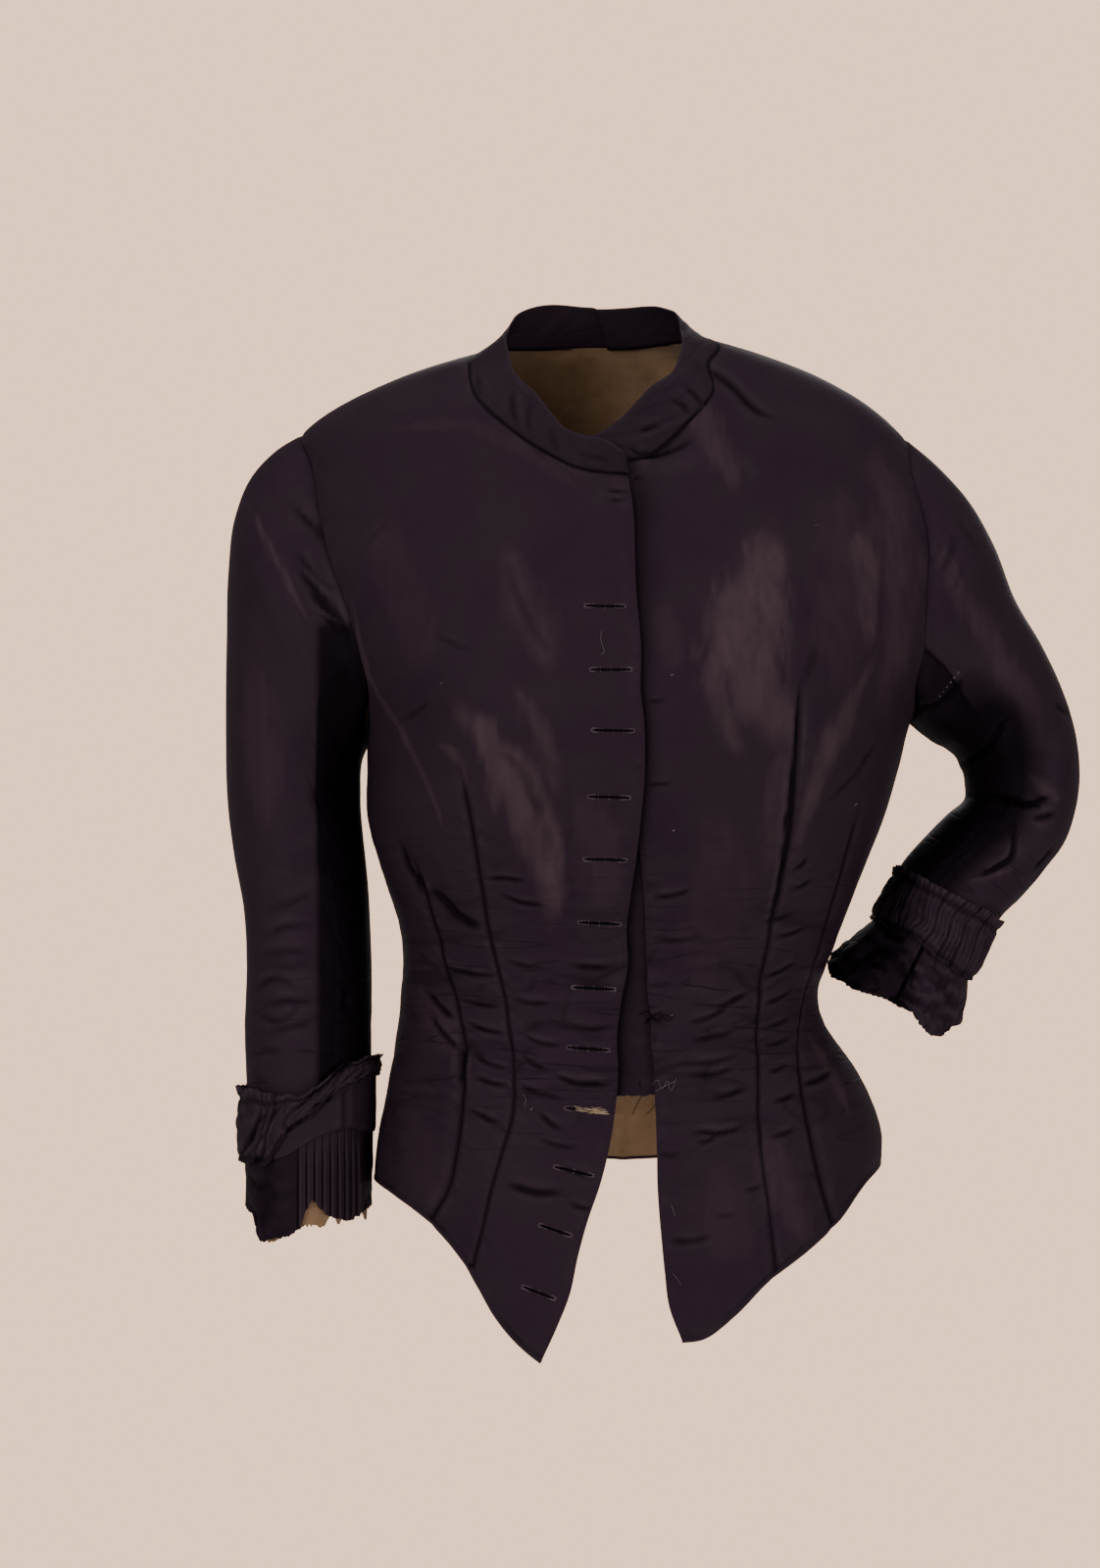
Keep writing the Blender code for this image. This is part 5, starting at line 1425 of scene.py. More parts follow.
def sleeve_grid(side, rows):
    """Points of one sleeve, rows from the armhole down and columns round the arm, and their angles."""
    table = np.array(SLEEVE_RIGHT if side == "right" else SLEEVE_LEFT, float)
    hole = armhole_points(side)
    start = on_torso(hole)
    normals = torso_normal(hole[:, 0], hole[:, 1])
    middle = start.mean(axis=0)
    into_hole = middle - start
    into_hole = unit(into_hole - normals * (into_hole * normals).sum(axis=-1, keepdims=True))
    length = added_up(np.linalg.norm(np.diff(np.vstack([start, start[:1]]), axis=0), axis=1))
    angle = np.radians(np.interp(length[:-1], [0, length[FRONT_ARM_ROWS], length[-1]], [0, 180, 360]))
    rings = []
    for outer_x, outer_z, inner_x, inner_z, middle_y, half_depth in table:
        centre = np.array([(outer_x + inner_x) / 2, middle_y, (outer_z + inner_z) / 2])
        across = np.array([(outer_x - inner_x) / 2, 0, (outer_z - inner_z) / 2])
        front = np.array([0, -half_depth, 0])
        rings.append(centre + np.cos(angle)[:, None] * across + np.sin(angle)[:, None] * front)
    rings = np.array(rings)
    rest = start + (into_hole + normals) * 0.4 - rings[0]
    fade = 1 - smooth_step(np.arange(len(rings)) * 0.3)
    rings += fade[:, None, None] * rest
    knots = run_down(rings)
    at = np.linspace(0, knots[-1], rows + 1)
    grid = spline(knots, rings.reshape(len(rings), -1), at).reshape(rows + 1, -1, 3)
    return grid, np.degrees(angle)


# %% Build the sleeves
# How much shade is painted on the under sleeve, at distances down the arm.
UNDER_SHADE = {"right": ((0, 60, 230, 330, 400), (0.99, 0.96, 0.9, 0.76, 0.5)),
               "left": ((0, 40, 75, 200, 240), (0.3, 0.6, 0.95, 0.98, 0.85))}
# Streaks of painted sheen on the upper sleeves: strength, half width, then the points they run through.
SLEEVE_SHEEN = {
    "right": (
        (0.45, 1.8, -195, -90, -178, -121, -168, -141, -158, -160),
        (0.20, 12, -190, -180, -186, -230, -184, -280),
    ),
    "left": (
        (0.30, 8, 192, -110, 208, -146, 226, -176, 247, -207, 252, -232),
        (0.40, 3, 244, -243, 256, -254, 266, -261),
        (0.35, 2.5, 213, -306, 228, -303, 242, -298),
    ),
}
SLEEVE_ROWS = 140
# How far down the arm the elbow lies.
ELBOW = {"right": 285, "left": 205}
# How far the topmost row runs on under the body's edge, and how deep it lies there.
TUCK_LENGTH, TUCK_DEPTH = 3.4, 1.5


def sleeve_relief(side, grid, normals, seed):
    """Relief of one sleeve's tube, the shade painted in its troughs, distance down it and hair creases."""
    x, z = grid[..., 0], grid[..., 2]
    folds = SLEEVE_RIGHT_FOLDS if side == "right" else SLEEVE_LEFT_FOLDS
    creases = SLEEVE_RIGHT_CREASES if side == "right" else SLEEVE_LEFT_CREASES
    front = smooth_step(-normals[..., 1] * 3)
    back = smooth_step(normals[..., 1] * 3)
    placed = crease_height(x, z, creases, seed)
    relief = (placed - crease_depth(x, z, folds)) * front
    relief += (crease_height(x, z + 6, creases[:6], seed + 1) * 0.7) * back
    relief -= crease_depth(x, z, SLEEVE_BACK_FOLDS[side]) * back
    run = run_down(grid)
    round_arm = np.linspace(0, 270, grid.shape[1])[None]
    elbow = bell(run - ELBOW[side], 55)[:, None]
    relief += random_creases(round_arm, run[:, None], 24, 6.5, seed + 2) * (0.05 + 0.3 * elbow)
    relief += 0.5 * cloth_noise(round_arm / 28, run[:, None] / 40, seed + 4)
    relief += seam_pull(run[:, None], round_arm, seed + 6, 0.1, 0.4)
    ends = (smooth_step((run[-1] - run) / 30) * (1 - bell(run, 5)))[:, None]
    # Painted shade in the troughs of the front's creases.
    dark = np.clip(-placed * front, 0, 0.9)
    return relief * ends, dark, run, np.broadcast_to(0.15 + 0.7 * elbow, relief.shape)


def elbow_shade(side, run, apart, points):
    """How much painted shade darkens the upper sleeve under the right arm and inside the left elbow."""
    if side == "right":
        return 1.15 * smooth_step((points[..., 0] + 156) / 6) * smooth_step((-157 - points[..., 2]) / 9)
    strong = np.interp(run, (45, 80, 215, 250), (0, 1.08, 1.05, 0.3))[:, None]
    reach = np.interp(run, (50, 100, 140, 200), (16, 32, 21, 15))[:, None]
    return strong * (1 - smooth_step((apart - 0.3 * reach) / reach))


# %% Make the two sleeves
def build_sleeve(side, seed):
    """Cut one sleeve's tube along its two seams into the upper and the under sleeve."""
    grid, angle = sleeve_grid(side, SLEEVE_ROWS)
    normals, _ = grid_normals(grid, grid - grid.mean(axis=1, keepdims=True), closed=True)
    relief, dark, run, creased = sleeve_relief(side, grid, normals, seed)
    front_seam = int(np.argmin(np.abs(angle - FRONT_SEAM)))
    back_seam = int(np.argmin(np.abs(angle - BACK_SEAM)))
    count = len(angle)
    upper = [k % count for k in range(back_seam, count + front_seam + 1)]
    under = list(range(front_seam, back_seam + 1))
    for name, columns in (("upper", upper), ("under", under)):
        points, out = grid[:, columns], normals[:, columns]
        apart = edge_distances(points)
        lift = edge_pulls(relief[:, columns], apart, seed + 30, left=(0.35, 0.3), right=(0.35, 0.3))
        # Painted shade along the seams, in the troughs and at the lower edge; under the arm and in the elbow
        # on the upper sleeve, and all over the under sleeve.
        sunk = sum(bell(apart[edge], 1.2) for edge in ("left", "right")) + dark[:, columns]
        sunk += 0.5 * bell(apart["bottom"], 1.2)
        if name == "upper":
            sunk += elbow_shade(side, run, apart["right"], points)
        else:
            sunk += np.interp(run, *UNDER_SHADE[side])[:, None]
        flat = np.stack(np.broadcast_arrays(apart["left"], -run[:, None]), axis=-1)
        outer = points + out * lift[..., None]
        outer[0] += TUCK_LENGTH * unit(outer[0] - outer[2]) - TUCK_DEPTH * out[0]
        # The under sleeve wears the darker copy of the silk, as painted shade.
        outside = silk if name == "upper" else painted_shade_silk
        # Only the upper sleeve's front gets streaks of painted sheen.
        table = SLEEVE_SHEEN[side] if name == "upper" else ()
        cloth_shell(f"silk_{name}_sleeve_{side}", outer, out, flat,
                    rubbed=crest(lift), sunk=np.clip(sunk, 0, 1) * 0.9, creased=creased[:, columns],
                    glossed=sheen_patches(points[..., 0], points[..., 2], table, seed) * (out[..., 1] < 0),
                    allowance=apart["bottom"], materials=(outside, lining), even=True)


build_sleeve("right", 101)
build_sleeve("left", 131)

# %% [markdown]
# ## Cuffs
#
# Each cuff is worked in layers: a gathered band, on the right arm a smooth strap below it, and a
# frill, pleated on the right and loose on the left. A ragged lining hangs out of the right one.
# Places on a cuff are an angle round the arm and a distance down it. The gathers are uneven waves
# with round crests and narrow valleys; the pleats are a saw tooth.
# %% Cuff tables
# How thick the cuffs' cloth is, and the radius at which their flat width is measured.
CUFF_THICKNESS, CUFF_RADIUS = 0.8, 38
CUFFS = {
    "right": {"centre": (-160, -8, -424), "across": (-1, 0, 0), "down": (0, 0, -1)},
    "left": {"centre": (207, 13, -312.5), "across": (0.891, 0, -0.454), "down": (-0.454, 0, -0.891)},
}
# Gathered bands: angle, upper edge, lower edge.
RUCHE_RIGHT = (
    (0, -1, 41), (25, -1.5, 40.5), (45, -1.5, 40), (60, 0, 38), (69, 0.5, 27), (78, 1, 21),
    (86, 1, 16), (96, -2, 12), (104, -6, 7), (120, -15, -1), (138, -18, -6), (154, -19.5, -8),
    (180, -18.5, -8), (205, -17, -6), (225, -12, 2), (245, -6, 13), (265, -2, 25), (285, 0, 34),
    (305, 0, 39), (330, -1, 41), (360, -1, 41),
)
RUCHE_LEFT = (
    (0, 2, 40), (30, 2, 40.5), (48, 1, 41), (68, 1, 38.5), (76, 1, 38), (94, 1, 35), (106, 1, 34),
    (127, 0.5, 35), (156, 0, 34), (180, 2, 34), (210, 1, 35), (240, 1, 37), (275, 1, 36), (310, 2, 39),
    (335, 2, 41), (360, 2, 40),
)
# The strap: angle and lower edge. The frills and the ragged lining: angle and lower edge.
STRAP_RIGHT = (
    (62, 37.5), (74, 35), (90, 28.6), (104, 23.5), (125, 20), (154, 23.5), (180, 24), (215, 23),
    (245, 27), (275, 34), (298, 38),
)
FLOUNCE_RIGHT = (
    (0, 66), (18, 67), (30, 71), (37, 80), (42, 83), (55, 83), (68, 81), (80, 78), (87, 73), (91, 65),
    (97, 60), (103, 64), (109, 68), (123, 71.5), (135, 71.7), (153, 68), (180, 66), (210, 70),
    (240, 74), (270, 75), (300, 76), (330, 72), (360, 66),
)
FLOUNCE_LEFT = (
    (97, 69), (107, 71.7), (138, 74.6), (165, 72), (180, 66), (200, 68), (230, 72), (270, 73),
    (310, 71), (340, 66), (360, 61), (380, 69), (398, 77), (411, 78), (427, 76.5), (444, 69.5), (453, 68),
)
# Groups of pleats: first and last angle, number of pleats.
PLEATS_RIGHT = ((84, 148, 9), (205, 325, 13))
LINING_RIGHT = (
    (0, 62), (40, 76), (50, 84.5), (58, 84), (66, 79), (84, 77), (92, 75), (100, 74), (108, 75.5),
    (116, 68), (124, 73.5), (130, 68), (150, 66), (163, 72), (172, 73), (182, 64), (220, 67), (270, 70),
    (320, 70), (360, 62),
)


# %% Cloth round the wrist
def cuff_line(table, angle, column=1):
    """A smooth value of a cuff table at each angle."""
    rows = np.array(table, float)
    return spline(rows[:, 0], rows[:, column:column + 1], angle)[:, 0]


def cuff_shell(name, side, angle, run, radius, closed=True, lift=None, materials=None, sunk=None):
    """A tube of cloth round the arm from its angles, distances down and radii."""
    cuff = CUFFS[side]
    turn = np.radians(angle)[None, :, None]
    outward = np.cos(turn) * np.array(cuff["across"], float) + np.sin(turn) * np.array((0, -1, 0), float)
    middle = np.array(cuff["centre"], float) + run[..., None] * np.array(cuff["down"], float)
    outward = np.broadcast_to(outward, middle.shape)
    outer = middle + outward * radius[..., None]
    wide = np.radians(angle) * CUFF_RADIUS
    if closed:
        wide = np.append(wide, wide[0] + 2 * math.pi * CUFF_RADIUS)
        run = np.hstack([run, run[:, :1]])
    flat = np.stack(np.broadcast_arrays(wide[None], -run), axis=-1)
    lift = radius if lift is None else lift
    # Painted shade on the left cuff's inner part, towards the body.
    if side == "left":
        sunk = sunk + 0.65 * smooth_step((190 - outer[..., 0]) / 14)
    cloth_shell(name, outer, outward, flat, closed, CUFF_THICKNESS, inside=0, materials=materials,
                rubbed=crest(lift), sunk=sunk, creased=np.full(outer.shape[:2], 0.3))


def ragged(angle, size, seed):
    """An uneven torn or frayed edge round the arm."""
    return size * (cloth_noise(angle / 1.7, 0, seed) + 0.8 * cloth_noise(angle / 5.5, 0, seed + 1))


# %% Gathered bands
# Waves round the arm and close gathers in each; sink draws the band in at three places down it.
RUCHES = {
    "right": {"table": RUCHE_RIGHT, "waves": 14, "close": 2, "radius": 39.9, "sink": (0.2, 0.7, 0),
              "slant": 2.2, "sway": 3.4, "creased": 0.85},
    "left": {"table": RUCHE_LEFT, "waves": 22, "close": 3, "radius": 33.8, "sink": (0, 0, 0),
             "slant": 0.5, "sway": 2.2, "creased": 0.4},
}


def build_ruche(side, seed):
    """One gathered band; two rows of stitches hold its gathers."""
    band = RUCHES[side]
    angle = np.arange(400) * 360 / 400
    down = np.linspace(0, 1, 29)[:, None]
    top, bottom = cuff_line(band["table"], angle, 1), cuff_line(band["table"], angle, 2)
    run = top + ragged(angle, 0.5, seed) + (bottom - top) * down
    depth = np.interp(down, (0, 0.16, 0.45, 0.75, 1), (2.2, 1.0, 2.0, 2.2, 1.0))
    sink = np.interp(down, (0, 0.16, 0.45), band["sink"])
    slant = band["slant"] * down * 3
    sway = band["sway"] * cloth_noise(angle / 22, down * 3, seed + 2)
    broad = np.radians(angle) * band["waves"] + slant + sway
    close = np.radians(angle) * band["waves"] * band["close"] + 2 * slant + 2.2 * sway
    gather = 0.55 * np.abs(np.sin(broad / 2)) ** 0.7 + 0.45 * np.abs(np.sin(close / 2 + 0.4)) ** 0.7
    gather *= 1 + 0.35 * cloth_noise(angle / 9, down * 5, seed + 3)
    gather += band["creased"] * random_creases(angle * 0.66 + down * 14, down * 26, 7, 6, seed + 7)
    stitched = bell(down - 0.16, 0.035) + bell(down - 0.94, 0.04)
    radius = band["radius"] - sink + depth * gather * (1 - 0.5 * stitched) - 0.5 * stitched
    # Painted shade in the valleys of the gathers and along the stitched lines.
    sunk = np.clip(0.8 - gather * 1.2, 0, 1) * 0.9 + 0.5 * stitched
    cuff_shell(f"silk_ruche_{side}", side, angle, run, radius, sunk=sunk)


build_ruche("right", 151)
build_ruche("left", 163)

# %% Strap, frills and ragged lining
# The radius of each layer, and how far down the arm the hidden top of a frill or the lining lies.
STRAP_RADIUS, FRILL_RADIUS, LOOSE_RADIUS, RAG_RADIUS = 38.3, 36.4, 31.8, 33.4
FRILL_TOP, LOOSE_TOP, RAG_TOP = 15, 22, 26.35
strap_angle = np.linspace(STRAP_RIGHT[0][0], STRAP_RIGHT[-1][0], 121)
strap_low = cuff_line(STRAP_RIGHT, strap_angle)
strap_high = np.minimum(cuff_line(RUCHE_RIGHT, strap_angle, 2), strap_low) - 5
strap_down = np.linspace(0, 1, 25)[:, None]
strap_run = strap_high + (strap_low - strap_high) * strap_down
strap_fold = 0.7 * bell(strap_angle - 118, 4) - 0.9 * bell(strap_angle - 126, 3)
strap_radius = STRAP_RADIUS + strap_fold + 0.35 * cloth_noise(strap_angle / 14, strap_run / 9, 171)
strap_radius -= 0.5 * bell(strap_low - strap_run, 1.6)
cuff_shell("silk_strap_right", "right", strap_angle, strap_run, strap_radius, closed=False)


# %% The pleated frill
def pleat_columns(steps):
    """Angles of the right frill's columns, and how high each lies in its pleat, 0 to 1."""
    angle, lift = [0.0], [0.25]
    for first, last, count in PLEATS_RIGHT:
        pitch = (last - first) / count
        angle.append(first - 2)
        lift.append(0.25)
        for k in range(count):
            angle += [first + (k + share) * pitch for share in (0, 0.14, 0.3, 0.62, 0.9)]
            lift += [0, 0.95, 1, 0.62, 0.42]
        angle.append(last + 2)
        lift.append(0.25)
    angle, lift = np.array([*angle, 360.0]), np.array([*lift, 0.25])
    fine = np.concatenate([np.linspace(a, b, max(2, int((b - a) / steps) + 2))[:-1]
                           for a, b in zip(angle[:-1], angle[1:])])
    return fine, np.interp(fine, angle, lift)


def frill_path(start, seam, bottom, place):
    """Distance down the arm: from start to the seam as place runs to 1, then on to the bottom."""
    return np.where(place <= 1, start + (seam - start) * place, seam + (bottom - seam) * (place - 1))


frill_angle, frill_lift = pleat_columns(1.0)
on_strap = (frill_angle > STRAP_RIGHT[0][0]) & (frill_angle < STRAP_RIGHT[-1][0])
frill_seam = np.where(on_strap, cuff_line(STRAP_RIGHT, frill_angle), cuff_line(RUCHE_RIGHT, frill_angle, 2))
frill_bottom = cuff_line(FLOUNCE_RIGHT, frill_angle) + ragged(frill_angle, 0.7, 181)
frill_seam = np.minimum(frill_seam, frill_bottom - 20)
frill_place = np.linspace(0, 2, 39)[:, None]
frill_run = frill_path(FRILL_TOP, frill_seam, frill_bottom, frill_place)
frill_open = smooth_step((frill_place - 1) / 0.45)
pressed = 1 - np.interp(frill_angle, (60, 84, 148, 160, 200, 215), (1, 0, 0, 1, 1, 0))
frill_crumple = random_creases(frill_angle * 0.65, frill_run, 11, 8, 183) * (2.1 - 2 * pressed)
frill_rise = frill_open * (1.7 * frill_lift - 0.8 + 0.8 * frill_crumple)
frill_radius = FRILL_RADIUS + 0.3 * frill_lift + frill_rise
# Painted shade in the pleats' low folds and in the troughs of the crumple.
frill_sunk = np.clip(0.5 - frill_lift, 0, 0.5) * 1.7 + np.clip(-0.25 * frill_crumple, 0, 0.6)
cuff_shell("silk_flounce_right", "right", frill_angle, frill_run, frill_radius, sunk=frill_sunk)

# %% The loose frill
loose_angle = np.linspace(FLOUNCE_LEFT[0][0], FLOUNCE_LEFT[-1][0], 301)
loose_seam = cuff_line(RUCHE_LEFT, loose_angle % 360, 2)
loose_bottom = cuff_line(FLOUNCE_LEFT, loose_angle) + ragged(loose_angle, 0.6, 191)
loose_place = np.linspace(0, 2, 35)[:, None]
loose_run = frill_path(LOOSE_TOP, loose_seam, loose_bottom, loose_place)
flare = 9.5 - 3.5 * np.cos(np.radians(loose_angle))
crumple = 1.6 * np.sin(np.radians(loose_angle * 7)) + 0.9 * np.sin(np.radians(loose_angle * 12 + 50))
loose_open = np.interp(loose_place, (1, 1.5, 2), (0, 0.55, 1))
loose_fine = random_creases(loose_angle * 0.6, loose_run, 9, 4, 193) * 2.0
loose_radius = LOOSE_RADIUS + loose_open * (flare + crumple + loose_fine)
# Painted shade in the troughs of the fine creases.
cuff_shell("silk_flounce_left", "left", loose_angle, loose_run, loose_radius, closed=False, lift=loose_fine,
           sunk=np.clip(-0.5 * loose_fine, 0, 0.7))

# %% The ragged lining
rag_angle = np.arange(200) * 1.8
rag_bottom = cuff_line(LINING_RIGHT, rag_angle) + ragged(rag_angle, 1.1, 201)
rag_run = RAG_TOP + (rag_bottom - RAG_TOP) * np.linspace(0, 1, 13)[:, None]
rag_radius = RAG_RADIUS + 0.4 * cloth_noise(rag_angle / 8, rag_run / 7, 203)
cuff_shell("tan_cuff_lining_right", "right", rag_angle, rag_run, rag_radius, materials=(lining, lining))

# %% [markdown]
# ## Things that repeat: piping and stitches
#
# A piped edge is a cord wrapped in silk, and a worked buttonhole is a row of thread loops. Both are
# made by Geometry Nodes, so that a length, a radius or a spacing is a named input and not a loop in
# the script. The first tree turns a line into a round cord. The second sets one thread loop on each
# point of a mesh, turned to the direction that the point carries.
# %% Two Geometry Nodes trees
def new_tree(name, inputs):
    """A Geometry Nodes tree with a Geometry input and output and other named inputs."""
    tree = bpy.data.node_groups.new(name, "GeometryNodeTree")
    tree.interface.new_socket("Geometry", in_out="INPUT", socket_type="NodeSocketGeometry")
    for label, kind in inputs.items():
        tree.interface.new_socket(label, in_out="INPUT", socket_type=kind)
    tree.interface.new_socket("Geometry", in_out="OUTPUT", socket_type="NodeSocketGeometry")
    return tree, tree.nodes.new("NodeGroupInput"), tree.nodes.new("NodeGroupOutput")


def finish_tree(tree, geometry, given, result):
    """End a tree as the export needs it: real faces with their material."""
    real = put(tree, "GeometryNodeRealizeInstances", {0: geometry})
    painted = put(tree, "GeometryNodeSetMaterial",
                  {0: real.outputs[0], "Material": given.outputs["Material"]})
    tree.links.new(painted.outputs[0], result.inputs[0])


# %% A cord along a line
cord_tree, given, result = new_tree(
    "cord_along_a_line", {"Radius": FLOAT, "Spacing": FLOAT, "Material": "NodeSocketMaterial"})
cord_line = put(cord_tree, "GeometryNodeMeshToCurve", {0: given.outputs["Geometry"]})
cord_steps = put(cord_tree, "GeometryNodeResampleCurve",
                 {"Curve": cord_line.outputs[0], "Length": given.outputs["Spacing"]}, mode="LENGTH")
cord_round = put(cord_tree, "GeometryNodeCurvePrimitiveCircle",
                 {"Resolution": 8, "Radius": given.outputs["Radius"]})
cord_skin = put(cord_tree, "GeometryNodeCurveToMesh",
                {"Curve": cord_steps.outputs[0], "Profile Curve": cord_round.outputs[0], "Fill Caps": True})
finish_tree(cord_tree, cord_skin.outputs[0], given, result)

# %% Thread loops
loop_tree, given, result = new_tree(
    "thread_loops",
    {"Loop length": FLOAT, "Thread radius": FLOAT, "Unevenness": FLOAT, "Seed": "NodeSocketInt",
     "Material": "NodeSocketMaterial"})
loop_ball = put(loop_tree, "GeometryNodeMeshUVSphere", {"Segments": 6, "Rings": 5, "Radius": 1.0})
half_loop = sums(loop_tree, "MULTIPLY", given.outputs["Loop length"], 0.5)
loop_size = put(loop_tree, "ShaderNodeCombineXYZ",
                {0: given.outputs["Thread radius"], 1: given.outputs["Thread radius"], 2: half_loop})
loop_body = put(loop_tree, "GeometryNodeTransform",
                {"Geometry": loop_ball.outputs["Mesh"], "Scale": loop_size.outputs[0]})
loop_way = put(loop_tree, "GeometryNodeInputNamedAttribute", {"Name": "thread_way"}, data_type="FLOAT_VECTOR")
loop_turn = put(loop_tree, "FunctionNodeAlignRotationToVector", {"Vector": loop_way.outputs[0]}, axis="Z")
loop_vary = put(loop_tree, "FunctionNodeRandomValue",
                {2: sums(loop_tree, "SUBTRACT", 1.0, given.outputs["Unevenness"]),
                 3: sums(loop_tree, "ADD", 1.0, given.outputs["Unevenness"]),
                 "Seed": given.outputs["Seed"]}, data_type="FLOAT")
loops = put(loop_tree, "GeometryNodeInstanceOnPoints",
            {"Points": given.outputs["Geometry"], "Instance": loop_body.outputs[0],
             "Rotation": loop_turn.outputs[0], "Scale": loop_vary.outputs[1]})
finish_tree(loop_tree, loops.outputs[0], given, result)


# %% Run a tree
sewn = []


def grow(name, tree, points, edges=(), ways=None, **sizes):
    """Run a tree on points in millimetres and keep the result as a plain mesh piece."""
    mesh = bpy.data.meshes.new(name)
    mesh.from_pydata((np.asarray(points, float) * MM).tolist(), list(edges), [])
    if ways is not None:
        layer = mesh.attributes.new("thread_way", "FLOAT_VECTOR", "POINT")
        layer.data.foreach_set("vector", np.asarray(ways, float).ravel())
    source = link(name + "_source", mesh)
    modifier = source.modifiers.new(tree.name, "NODES")
    modifier.node_group = tree
    for item in tree.interface.items_tree:
        key = item.name.lower().replace(" ", "_")
        if item.in_out == "INPUT" and key in sizes:
            modifier[item.identifier] = sizes[key]
    depsgraph = bpy.context.evaluated_depsgraph_get()
    plain = bpy.data.meshes.new_from_object(source.evaluated_get(depsgraph))
    bpy.data.objects.remove(source, do_unlink=True)
    plain.name = name
    plain.shade_smooth()
    sewn.append(link(name, plain))
    print(name, sum(len(face.vertices) - 2 for face in plain.polygons), "triangles")


def cords(name, lines, material, radius, spacing):
    """Round cords along open lines; radius and spacing in millimetres."""
    points, edges = [], []
    for line in lines:
        edges += [(k, k + 1) for k in range(len(points), len(points) + len(line) - 1)]
        points.extend(line)
    grow(name, cord_tree, points, edges, radius=radius * MM, spacing=spacing * MM, material=material)


def stitches(name, points, ways, material, length, radius, unevenness, seed):
    """Thread loops on points; length and radius in millimetres."""
    grow(name, loop_tree, points, ways=ways, loop_length=length * MM, thread_radius=radius * MM,
         unevenness=unevenness, seed=seed, material=material)


# %% [markdown]
# ## Thread and piping materials
#
# Buttonhole thread is a pale mauve grey silk twist; where a buttonhole has worn out, tan lining
# shows. The slit itself is a near-black cord, a painted shadow inside the opening. Piping is cut
# on the bias, so its ribs run round it at a slant and are read from Object coordinates.
# %% Materials of thread and piping
def plain_thread(name, colour, paler, roughness=0.6, grain=1400.0):
    """A twisted thread: two tones that alternate with a fine noise, and a bump."""
    material, tree, shader = new_material(name, {"Roughness": roughness, "Specular IOR Level": 0.05})
    twist = noise(tree, put(tree, "ShaderNodeTexCoord").outputs["Object"], grain, 2.0)
    tree.links.new(mixed(tree, twist, colour, paler), shader.inputs["Base Color"])
    bump = put(tree, "ShaderNodeBump", {"Height": twist, "Strength": 0.4, "Distance": 0.0001})
    tree.links.new(bump.outputs[0], shader.inputs["Normal"])
    return material


buttonhole_twist = plain_thread(
    "buttonhole twist", (0.020, 0.011, 0.018, 1), (0.140, 0.092, 0.122, 1), grain=240.0)
pale_thread = plain_thread("mauve thread", (0.075, 0.052, 0.065, 1), (0.19, 0.145, 0.165, 1))
tan_thread = plain_thread("tan fibre", (0.30, 0.19, 0.11, 1), (0.5, 0.38, 0.26, 1), 0.8)
# Near-black: the painted shadow inside the buttonhole slits, and also the dark thread ends.
dark_slit = plain_thread("dark slit", (0.0022, 0.0014, 0.002, 1), (0.004, 0.0025, 0.0035, 1), 0.95)
piping_silk = plain_thread("piping silk", PLUM, PLUM_BLOOM, 0.5)
worn_silk = plain_thread("worn piping silk", PLUM_DEEP, PLUM_BLOOM, grain=300.0)

# %% [markdown]
# ## Piping
#
# The hem is finished with a narrow self piping. The line is the lowest row of every panel, at the
# middle of its thickness, so the cord hugs the cut edge all round. The collar's right front end has
# a worn piping of its own.
# %% Pipe the hem and the collar
PIPED = ["silk_front_right", "silk_front_left", "silk_side_back_right", "silk_side_back_left",
         "silk_back_right", "silk_back_left"]
cords("hem_piping", [middle_of[name][0] for name in PIPED], piping_silk, radius=1.05, spacing=2.2)
cords("collar_end_piping", [middle_of["silk_collar"][3:, 0]], worn_silk, radius=0.9, spacing=1.5)

# %% [markdown]
# ## Buttonholes
#
# Twelve buttonholes run down the right front, 36 mm apart. The last three tilt, as the edge curves
# away, and one is so worn that tan fibres fill it. Each place is projected onto the cloth from the
# front: then the loops lie on whatever crease the silk has there.
# %% Work the buttonholes
# Middle x and height, half length, slope of the slit.
BUTTONHOLES = (
    (7, -154, 11.2, -0.02), (10, -189, 11.4, 0.0), (11, -222, 11.6, -0.02), (9, -258, 11.6, -0.03),
    (7, -292, 11.8, -0.03), (4, -327, 11.8, -0.05), (1, -363, 12.0, -0.05), (-2, -396, 12.0, -0.07),
    (-4, -429, 11.0, -0.08), (-10, -462, 11.2, -0.22), (-20, -494, 9.4, -0.32), (-29, -528, 9.6, -0.34),
)
WORN_BUTTONHOLE = 8
SLIT_HALF_WIDTH = 1.1
LOOPS_ROUND = 64


def facing_cloth(*names):
    """A function that gives place and normal on the named pieces, seen from the front at x, z."""
    depsgraph = bpy.context.evaluated_depsgraph_get()
    trees = [BVHTree.FromObject(made[name], depsgraph) for name in names]

    def at(x, z):
        hits = [tree.ray_cast(Vector((x * MM, -1, z * MM)), Vector((0, 1, 0))) for tree in trees]
        hits = [hit for hit in hits if hit[0] is not None]
        if not hits:
            print("no cloth at", x, z)
            return np.array((x, -100.0, z)), np.array((0.0, -1.0, 0.0))
        place, normal = min(hits, key=lambda hit: hit[3])[:2]
        return np.array(place) / MM, np.array(normal)

    return at


